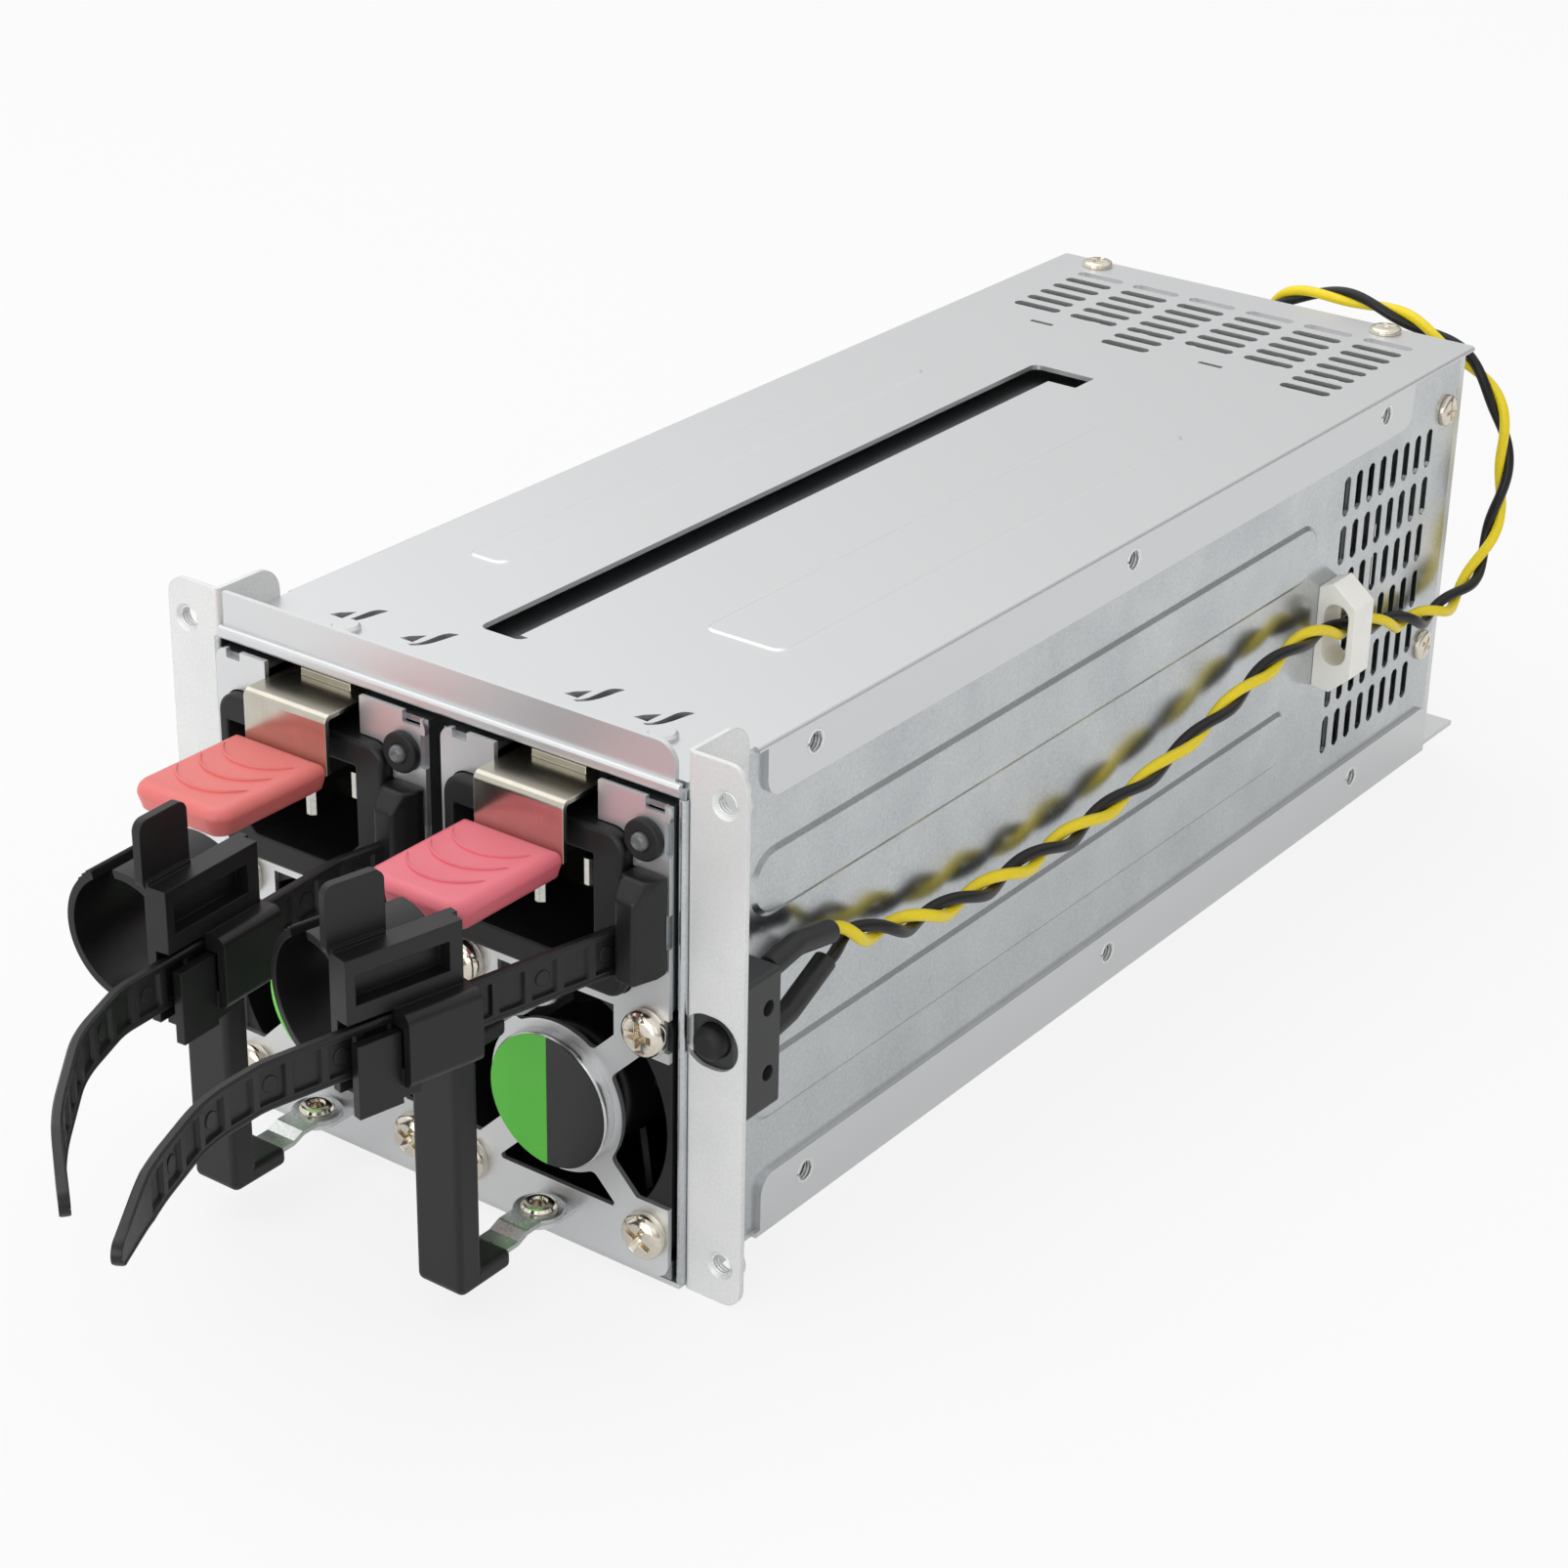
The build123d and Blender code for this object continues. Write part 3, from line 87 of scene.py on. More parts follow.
def linear(hex_colour: str) -> tuple[float, float, float, float]:
    """Turns an sRGB hex value to the linear colour that the shaders take.

    Args:
        hex_colour: six hex digits, with or without the leading mark.
    Returns:
        Red, green, blue and a full alpha.
    """
    digits = hex_colour.lstrip("#")
    channels = []
    for k in (0, 2, 4):
        value = int(digits[k:k + 2], 16) / 255
        channels.append(value / 12.92 if value <= 0.04045 else ((value + 0.055) / 1.055) ** 2.4)
    return (*channels, 1.0)


def add_node(tree: NodeTree, kind: str, inputs: dict | None = None, **settings) -> Node:
    """Adds one node to a tree, with its settings and what feeds its sockets.

    Args:
        tree: the tree that gets the node.
        kind: the node's type name.
        inputs: for each socket, by name or number, a value, the output that feeds it, or the node whose
            first output does.
        settings: the node's own properties.
    Returns:
        The new node.
    """
    node = tree.nodes.new(kind)
    for key, value in settings.items():
        setattr(node, key, value)
    for key, value in (inputs or {}).items():
        if isinstance(value, Node):
            value = value.outputs[0]
        if isinstance(value, NodeSocket):
            tree.links.new(value, node.inputs[key])
        else:
            node.inputs[key].default_value = value
    return node


def emptied(owner: Material | World) -> NodeTree:
    """Opens the node tree of a material or a world, with nothing in it."""
    owner.use_nodes = True
    owner.node_tree.nodes.clear()
    return owner.node_tree


@dataclass(frozen=True)
class Finish:
    """A surface: its colour, gloss, grain and the softness of its edges.

    The grain is the finest pattern that shows. The mottle is a wider one, which shifts colour
    and gloss a little. Both are given by their real size in millimetres.
    """

    name: str
    colour: str
    shade: str
    roughness: float
    spread: float
    grain: float
    grain_depth: float
    mottle: float = 8.0
    edge: float = 0.15
    metallic: float = 0.0
    stretch: Point = (1.0, 1.0, 1.0)
    coat: float = 0.0
    shine: float = 0.5

    def noise(self, tree: NodeTree, stretch: Point, size: float, detail: float) -> Node:
        """Adds a cloud of noise, its size in millimetres, that stays with the piece's own coordinates."""
        place = add_node(tree, "ShaderNodeTexCoord").outputs["Object"]
        scaled = add_node(tree, "ShaderNodeMapping", {"Vector": place, "Scale": [s / MM for s in stretch]})
        return add_node(tree, "ShaderNodeTexNoise", {"Vector": scaled, "Scale": 1 / size, "Detail": detail})

    def make(self) -> Material:
        """Makes the material, or finds it if it is there already."""
        found = bpy.data.materials.get(self.name)
        if found:
            return found
        material = bpy.data.materials.new(self.name)
        tree = emptied(material)
        fine = self.noise(tree, self.stretch, self.grain, 3.0)
        wide = self.noise(tree, (1.0, 1.0, 1.0), self.mottle, 4.0)
        both = add_node(tree, "ShaderNodeMath", {0: wide, 1: fine}, operation="ADD")
        share = add_node(tree, "ShaderNodeMapRange", {"Value": both, "From Min": 0.7, "From Max": 1.3})
        tint = add_node(tree, "ShaderNodeMix",
                        {0: share, 6: linear(self.colour), 7: linear(self.shade)}, data_type="RGBA")
        gloss = add_node(tree, "ShaderNodeMapRange",
                         {"Value": share, "To Min": self.roughness - self.spread,
                          "To Max": self.roughness + self.spread})
        soft_edges = add_node(tree, "ShaderNodeBevel", {"Radius": self.edge * MM}, samples=4)
        bump = add_node(tree, "ShaderNodeBump",
                        {"Height": fine, "Distance": self.grain_depth * MM, "Normal": soft_edges})
        shader = add_node(tree, "ShaderNodeBsdfPrincipled",
                          {"Base Color": tint.outputs[2], "Roughness": gloss, "Normal": bump,
                           "Metallic": self.metallic, "Coat Weight": self.coat,
                           "Specular IOR Level": self.shine})
        add_node(tree, "ShaderNodeOutputMaterial", {"Surface": shader})
        return material


metal = partial(Finish, metallic=1.0)
# Black plastics mirror less than other ones, so they stay deep under the large lamps
black = partial(Finish, shine=0.38)


class Surface(Enum):
    """Every finish of the object, named for what the real surface is.

    After the name a row gives the colour and its shade, the roughness and its spread, the
    grain and its depth, the mottle and the softness of the edges.
    """

    # Hot dip galvanised sheet, skin passed: a cool grey mirror blurred by a fine sandy grain
    GALVANISED = metal("galvanised_steel", "#D8D9D8", "#C4C6C6", 0.30, 0.05, 0.45, 0.006, 14.0, 0.22)
    # The walls' coil of it, rolled smoother: bluer and clear enough to mirror the lead
    WALL_SHEET = metal("galvanised_wall_sheet", "#CDD0D2", "#B9BDC0", 0.235, 0.04, 0.45, 0.005, 14.0, 0.22)
    # The ears' thicker strip, with a matt zinc skin that scatters the light
    EAR_SHEET = Finish("matt_galvanised_strip", "#EAEBEA", "#DCDEDE", 0.46, 0.05, 0.45, 0.008, 14.0, 0.25,
                       metallic=0.5)
    # The thinner galvanised sheet of the modules' shells, painted greyer than the cage as painted shade, so
    # the inside seen through the roof's slot stays dark; duller too
    SHELL_SHEET_SHADED = metal("galvanised_shell_sheet_shaded", "#A6A9AB", "#979A9D", 0.36, 0.04, 0.5, 0.005, 20.0)
    # Cold rolled strip, bright nickel plated: smooth, warm and nearly a mirror
    NICKEL = metal("bright_nickel_plate", "#E6DFD2", "#D9D1C2", 0.17, 0.04, 0.6, 0.002, 3.0, 0.12)
    # Stainless spring strip, ground lengthwise: fine lines that draw reflections out
    SPRING = metal("ground_stainless_strip", "#CDC8BC", "#BFBAAD", 0.22, 0.025, 0.12, 0.0012, 3.0, 0.05,
                   stretch=(1.0, 0.02, 0.02))
    # Zinc plated strip of the handle's links: greyer and softer than nickel
    ZINC = metal("clear_zinc_plate", "#C9CCCA", "#B4B8B6", 0.3, 0.06, 0.4, 0.002, 4.0, 0.05)
    # Black ABS with a spark eroded grain: even, half dull
    ABS_BLACK = black("black_moulded_abs", "#101011", "#161617", 0.44, 0.05, 0.14, 0.010, 5.0, 0.25)
    # Black nylon of the clips and anchors: smoother than ABS, with a soft sheen
    NYLON_BLACK = black("black_moulded_nylon", "#101011", "#161617", 0.38, 0.05, 0.3, 0.008, 6.0, 0.25)
    # The same nylon in the straps: a touch paler and glossier, with crisp edges
    NYLON_STRAP = black("black_strap_nylon", "#111112", "#18181A", 0.36, 0.05, 0.3, 0.006, 6.0, 0.08)
    # The grip's ABS, a little paler and smoother than the other black ABS
    GRIP = black("black_grip_abs", "#171718", "#1D1D1E", 0.42, 0.05, 0.14, 0.008, 5.0, 0.25)
    # Glass filled housing of the switch: greyer and duller
    SWITCH = Finish("grey_black_thermoplastic", "#2B2C2E", "#343537", 0.48, 0.04, 0.16, 0.010, 3.0)
    # Rubber of the button and of the indicator's ring: the dullest black
    RUBBER = black("black_rubber", "#111112", "#171718", 0.55, 0.04, 0.2, 0.008, 2.0)
    # Coral ABS of the thumb pads, the left lot a little more orange than the right one
    CORAL_LEFT = Finish("coral_abs_left", "#DD736F", "#DA6D6A", 0.38, 0.04, 0.2, 0.006, 6.0, 0.3)
    CORAL_RIGHT = Finish("coral_abs_right", "#DD6F7C", "#DA6976", 0.38, 0.04, 0.2, 0.006, 6.0, 0.3)
    # Printed film of the hub discs, green on one half and dark grey on the other
    GREEN_LEFT = Finish("green_printed_film_left", "#7BE05A", "#75DC55", 0.3, 0.03, 0.4, 0.001, edge=0.04)
    GREEN_RIGHT = Finish("green_printed_film_right", "#5CC83F", "#57C43B", 0.3, 0.03, 0.4, 0.001, edge=0.04)
    PRINT_DARK = Finish("dark_printed_film", "#202021", "#1E1E1F", 0.3, 0.03, 0.4, 0.001, edge=0.04)
    # The steel boss under a disc, drawn bright by the press
    BOSS = metal("pressed_steel_boss", "#D2D3D3", "#C4C6C6", 0.22, 0.05, 0.4, 0.003, 6.0, 0.3)
    # Pale zinc in the tapped holes: paler and brighter than the sheet around it, a painted highlight for the
    # holes' lit inner walls
    HOLE_HIGHLIGHT = Finish("pale_collar_painted_highlight", "#F2F3F3", "#E2E3E4", 0.3, 0.05, 0.4, 0.003, 6.0, 0.1,
                    metallic=0.45)
    # Cast resin dome of the indicator, unlit: grey, with a clear gloss
    LENS = Finish("smoke_grey_resin", "#5F6163", "#55575A", 0.16, 0.03, 0.5, 0.002, 2.0, coat=0.3)
    # Wire insulation: full colour with a soft plastic gloss
    PVC_YELLOW = Finish("yellow_pvc_insulation", "#F2DA12", "#E9CF0C", 0.34, 0.04, 0.5, 0.006, 9.0, 0.05)
    PVC_BLACK = black("black_pvc_insulation", "#0E0E0E", "#151514", 0.36, 0.04, 0.5, 0.006, 9.0, 0.05)
    # Shrink sleeve: dull, with a faint crinkle
    SLEEVE = Finish("heat_shrink_sleeve", "#1D1D1E", "#262627", 0.5, 0.05, 0.7, 0.03, 4.0, 0.2)
    # Undyed nylon of the saddle: milky white
    NYLON_NATURAL = Finish("natural_nylon", "#FBFAF6", "#F5F3EC", 0.36, 0.04, 0.5, 0.006, 6.0, 0.3)
    # Solder mask over glass laminate, and what stands on it, all seen through slots only
    LAMINATE = Finish("green_solder_mask", "#123B23", "#173F28", 0.35, 0.05, 0.6, 0.004, 5.0)
    SOLDER = metal("tin_solder", "#DADCDE", "#C8CACC", 0.2, 0.05, 0.5, 0.01, 2.0)
    CAN = Finish("black_sleeved_can", "#20242B", "#262A30", 0.35, 0.04, 0.5, 0.004)
    TAPE = Finish("yellow_winding_tape", "#C9A93A", "#BF9E30", 0.4, 0.04, 0.6, 0.006)
    # Tinned brass of the inlet's blades: pale and slightly warm
    TIN = metal("tinned_brass_blade", "#D8D6CF", "#CBC8BF", 0.22, 0.04, 0.5, 0.004, 3.0, 0.2)

    def make(self) -> Material:
        """The finish's material."""
        return self.value.make()


def paint(mesh: Mesh, surfaces: list[Surface]) -> None:
    """Gives a mesh its finishes, in the order of its material slots."""
    mesh.materials.clear()
    for surface in surfaces:
        mesh.materials.append(surface.make())


def dress(node: str, surface: Surface) -> None:
    """Gives a CAD node the material of a finish."""
    paint(frame["nodes"][node].data, [surface])


def placed(name: str, data: bpy.types.ID) -> Object:
    """Makes an object of a mesh, a lamp or a camera and links it to the scene."""
    thing = bpy.data.objects.new(name, data)
    bpy.context.scene.collection.objects.link(thing)
    return thing


def evaluated_mesh(source: Object) -> Mesh:
    """The mesh of an object with its modifiers applied, after which the object is removed."""
    bpy.context.view_layer.update()
    graph = bpy.context.evaluated_depsgraph_get()
    mesh = bpy.data.meshes.new_from_object(source.evaluated_get(graph))
    bpy.data.objects.remove(source)
    return mesh


def finished(mesh: Mesh, name: str, body: str, surfaces: list[Surface], sharp: float = 35.0,
             stands_for: tuple[str, ...] = ()) -> Object:
    """Turns a mesh into a piece that rides on a body.

    Args:
        mesh: the piece's mesh, in place.
        name: the piece's name.
        body: the CAD body that carries it.
        surfaces: its finishes, in the order of its material slots.
        sharp: the angle in degrees past which an edge stays sharp.
        stands_for: the CAD nodes that it replaces.
    Returns:
        The new object.
    """
    paint(mesh, surfaces)
    mesh.shade_smooth()
    mesh.set_sharp_from_angle(angle=math.radians(sharp))
    holder = placed(name, mesh)
    holder.modifiers.new("flat_faces", "WEIGHTED_NORMAL").keep_sharp = True
    mesh = evaluated_mesh(holder)
    mesh.name = name
    piece = placed(name, mesh)
    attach(piece, body)
    if stands_for:
        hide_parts(*stands_for)
    LOG.info("%s rides on %s, %d faces", name, body, len(mesh.polygons))
    return piece


def opened(mesh: Mesh) -> bmesh.types.BMesh:
    """Opens a mesh for work, its points joined and each flat stretch made one face."""
    work = bmesh.new()
    work.from_mesh(mesh)
    bmesh.ops.remove_doubles(work, verts=work.verts, dist=WELD * MM)
    bmesh.ops.dissolve_limit(work, angle_limit=FLAT, verts=work.verts, edges=work.edges)
    return work


def rounded(mesh: Mesh, width: float, segments: int) -> Mesh:
    """Rounds every sharp edge of a mesh.

    Args:
        mesh: a mesh in metres, which is used up.
        width: the width of the rounding in millimetres.
        segments: how many faces the rounding has.
    Returns:
        The rounded mesh.
    """
    work = opened(mesh)
    for face in work.faces:
        face.smooth = True
    work.to_mesh(mesh)
    work.free()
    holder = placed("rounding", mesh)
    bevel = holder.modifiers.new("rounding", "BEVEL")
    bevel.width = width * MM
    bevel.segments = segments
    bevel.limit_method = "ANGLE"
    bevel.angle_limit = SHARP
    bevel.use_clamp_overlap = True
    return evaluated_mesh(holder)


def softened(node: str, surface: Surface, width: float, segments: int = 2) -> None:
    """Stands a copy of a CAD node with rounded edges in its place."""
    source = frame["nodes"][node]
    mesh = rounded(source.data.copy(), width, segments)
    finished(mesh, node + "_moulded", source["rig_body"], [surface], stands_for=(node,))


def mesh_of_loops(*rows: list[np.ndarray]) -> Mesh:
    """Skins rows of closed loops of points, in millimetres, and closes both ends of each row.

    Args:
        rows: for each row its loops, which are arrays of the same number of points.
    Returns:
        The mesh, in metres, with its faces outwards.
    """
    faces = []
    first = 0
    for loops in rows:
        count = len(loops[0])
        last = first + (len(loops) - 1) * count
        for base in range(first, last, count):
            for i in range(count):
                j = (i + 1) % count
                faces.append((base + i, base + j, base + count + j, base + count + i))
        faces.append(tuple(reversed(range(first, first + count))))
        faces.append(tuple(range(last, last + count)))
        first = last + count
    mesh = bpy.data.meshes.new("loops")
    mesh.from_pydata((np.concatenate([loop for loops in rows for loop in loops]) * MM).tolist(), [], faces)
    work = bmesh.new()
    work.from_mesh(mesh)
    bmesh.ops.recalc_face_normals(work, faces=work.faces)
    work.to_mesh(mesh)
    work.free()
    return mesh


def stacked(*axes: np.ndarray | float) -> np.ndarray:
    """Points from their coordinates along each axis, where a single number counts for all of them."""
    return np.stack(np.broadcast_arrays(*axes), axis=1)


def turned(profile: Outline, count: int) -> Mesh:
    """A mesh that is round about the upward axis, from radii and heights along its outline."""
    angles = np.linspace(0, math.tau, count, endpoint=False)
    across, up = np.cos(angles), np.sin(angles)
    return mesh_of_loops([stacked(radius * across, radius * up, z) for radius, z in profile])


def coil(radius: float, pitch: float, turns: float, count: int) -> np.ndarray:
    """Points of a coil: two coordinates across its axis, and its rise."""
    angles = np.linspace(0, math.tau * turns, count)
    return stacked(radius * np.cos(angles), radius * np.sin(angles), pitch * angles / math.tau)


def distances(line: np.ndarray) -> np.ndarray:
    """The length along a line to each of its points."""
    return np.concatenate([[0], np.cumsum(np.linalg.norm(np.diff(line, axis=0), axis=1))])


@dataclass
class PanHead:
    """A pan head with a cross recess, upright on its seat.

    The skirt gives shares of the radius and the height up to where the dome starts. The crown
    says how large a share of each the dome takes, and the dome gives the angles along it.
    """

    radius: float
    height: float
    recess: float
    arm: float
    depth: float
    skirt: Outline = ((0.96, 0.0), (1.0, 0.12), (1.0, 0.42))
    crown: Pair = (0.38, 0.52)
    dome: tuple[float, ...] = (22, 42, 60)
    corner_step: float = 0.22

    def outline(self, angles: np.ndarray) -> np.ndarray:
        """How far the recess reaches at each angle."""
        turn = (angles + math.pi / 4) % (math.pi / 2) - math.pi / 4
        side = self.arm / 2 / np.maximum(np.abs(np.sin(turn)), 1e-6)
        return np.minimum(self.recess / np.cos(turn), side)

    def mesh(self) -> Mesh:
        """The head's mesh."""
        corner = math.atan(self.arm / 2 / self.recess)
        beside = corner + self.corner_step
        steps = np.array([-math.pi / 4, -beside, -corner, -corner / 3, corner / 3, corner, beside])
        angles = np.concatenate([steps + quarter * math.pi / 2 for quarter in range(4)])
        across, up = np.cos(angles), np.sin(angles)
        rows = [(share * self.radius, level * self.height) for share, level in self.skirt]
        for bend in np.radians(self.dome):
            rows.append((self.radius * (1 - self.crown[0] * (1 - math.cos(bend))),
                         self.height * (self.skirt[-1][1] + self.crown[1] * math.sin(bend))))
        top = self.outline(angles)
        rows += [(0.68 * self.radius, 0.97 * self.height),
                 (np.minimum(1.06 * top, 0.66 * self.radius), self.height),
                 (top, 0.96 * self.height),
                 (0.86 * top, self.height - 0.55 * self.depth),
                 (0.5 * top, self.height - self.depth)]
        return mesh_of_loops([stacked(reach * across, reach * up, level) for reach, level in rows])


class NodeTool:
    """A Geometry Nodes group with named inputs, run once on an object and then gone."""

    def __init__(self, name: str, kinds: dict[str, str]) -> None:
        """Opens the group.

        Args:
            name: the group's name.
            kinds: for each named input besides the finish, its socket's kind.
        """
        self.tree = bpy.data.node_groups.new(name, "GeometryNodeTree")
        self.tree.is_modifier = True
        interface = self.tree.interface
        interface.new_socket(name="Geometry", in_out="INPUT", socket_type="NodeSocketGeometry")
        self.sockets = {}
        for label, kind in (kinds | {"Finish": "Material"}).items():
            socket = interface.new_socket(name=label, in_out="INPUT", socket_type="NodeSocket" + kind)
            self.sockets[label] = socket.identifier
        interface.new_socket(name="Geometry", in_out="OUTPUT", socket_type="NodeSocketGeometry")
        self.given = add_node(self.tree, "NodeGroupInput").outputs

    def run(self, holder: Object, shape: Node, values: dict) -> Mesh:
        """Ends the group with plain painted geometry and runs it.

        Args:
            holder: the object that it runs on, which is used up.
            shape: the node that ends with the group's geometry.
            values: what each named input is set to.
        Returns:
            The mesh that it makes.
        """
        real = add_node(self.tree, "GeometryNodeRealizeInstances", {0: shape})
        painted = add_node(self.tree, "GeometryNodeSetMaterial",
                           {"Geometry": real, "Material": self.given["Finish"]})
        add_node(self.tree, "NodeGroupOutput", {0: painted})
        modifier = holder.modifiers.new("nodes", "NODES")
        modifier.node_group = self.tree
        for label, value in values.items():
            modifier[self.sockets[label]] = value
        return evaluated_mesh(holder)


def scattered(points: list[Point] | np.ndarray, outward: list[Point] | np.ndarray, sample: Mesh, name: str,
              body: str, surface: Surface, stands_for: tuple[str, ...] = (), turn: float = 0.0) -> None:
    """Repeats a small mesh on points with Geometry Nodes, and makes one plain mesh of them.

    Args:
        points: where each copy stands, in millimetres.
        outward: the direction of each copy's own upward axis.
        sample: the mesh that is repeated, about the origin, in metres.
        name: the piece's name.
        body: the CAD body that carries it.
        surface: its finish.
        stands_for: the CAD nodes that it replaces.
        turn: how far, in degrees, each copy turns on from the one before about its own axis.
    """
    seats = bpy.data.meshes.new(name + "_seats")
    seats.from_pydata([Vector(p) * MM for p in points], [], [])
    ways = seats.attributes.new("outward", "FLOAT_VECTOR", "POINT")
    ways.data.foreach_set("vector", np.array(outward, np.float32).ravel())
    model = placed(name + "_model", sample)

    tool = NodeTool(name + "_copies", {"Model": "Object", "Turn": "Float"})
    tree, given = tool.tree, tool.given
    shape = add_node(tree, "GeometryNodeObjectInfo", {"Object": given["Model"]})
    way = add_node(tree, "GeometryNodeInputNamedAttribute", {"Name": "outward"}, data_type="FLOAT_VECTOR")
    number = add_node(tree, "GeometryNodeInputIndex")
    spin = add_node(tree, "ShaderNodeMath", {0: number, 1: given["Turn"]}, operation="MULTIPLY")
    about = add_node(tree, "ShaderNodeCombineXYZ", {"Z": spin})
    upright = add_node(tree, "FunctionNodeAlignRotationToVector", {"Vector": way}, axis="Z")
    own = add_node(tree, "FunctionNodeEulerToRotation", {"Euler": about})
    facing = add_node(tree, "FunctionNodeRotateRotation",
                      {"Rotation": upright, "Rotate By": own}, rotation_space="LOCAL")
    copies = add_node(tree, "GeometryNodeInstanceOnPoints",
                      {"Points": given["Geometry"], "Instance": shape.outputs["Geometry"],
                       "Rotation": facing})
    mesh = tool.run(placed(name + "_seats", seats), copies,
                    {"Model": model, "Turn": math.radians(turn), "Finish": surface.make()})
    bpy.data.objects.remove(model)
    finished(mesh, name, body, [surface], stands_for=stands_for)


def swept(curves: list[np.ndarray], width: float, height: float, taper: bool, name: str, body: str,
          surface: Surface) -> None:
    """Draws a low rib along each of some lines with Geometry Nodes.

    Args:
        curves: the lines, arrays of points in millimetres.
        width: the rib's width in millimetres.
        height: how far it stands up.
        taper: whether it thins out to both ends.
        name: the piece's name.
        body: the CAD body that carries it.
        surface: its finish.
    """
    mesh = bpy.data.meshes.new(name + "_lines")
    points, edges = [], []
    for line in curves:
        edges += [(len(points) + k, len(points) + k + 1) for k in range(len(line) - 1)]
        points += (line * MM).tolist()
    mesh.from_pydata(points, edges, [])

    tool = NodeTool(name + "_ribs", {"Width": "Float", "Height": "Float", "Taper": "Float"})
    tree, given = tool.tree, tool.given
    line = add_node(tree, "GeometryNodeMeshToCurve", {0: given["Geometry"]})
    level = add_node(tree, "GeometryNodeSetCurveNormal", {"Curve": line}, mode="Z_UP")
    along = add_node(tree, "GeometryNodeSplineParameter")
    turn = add_node(tree, "ShaderNodeMath", {0: along.outputs["Factor"], 1: math.pi}, operation="MULTIPLY")
    swell = add_node(tree, "ShaderNodeMath", {0: turn}, operation="SINE")
    soft = add_node(tree, "ShaderNodeMath", {0: swell, 1: 0.35}, operation="POWER")
    size = add_node(tree, "ShaderNodeMix", {0: given["Taper"], 2: 1.0, 3: soft}, data_type="FLOAT")
    section = add_node(tree, "GeometryNodeCurvePrimitiveCircle", {"Resolution": 10, "Radius": 0.5})
    stretch = add_node(tree, "ShaderNodeCombineXYZ", {"X": given["Height"], "Y": given["Width"], "Z": 1.0})
    profile = add_node(tree, "GeometryNodeTransform", {"Geometry": section, "Scale": stretch})
    rib = add_node(tree, "GeometryNodeCurveToMesh",
                   {"Curve": level, "Profile Curve": profile, "Scale": size, "Fill Caps": True})
    mesh = tool.run(placed(name + "_lines", mesh), rib,
                    {"Width": width * MM, "Height": 2 * height * MM, "Taper": float(taper),
                     "Finish": surface.make()})
    finished(mesh, name, body, [surface], 60.0)


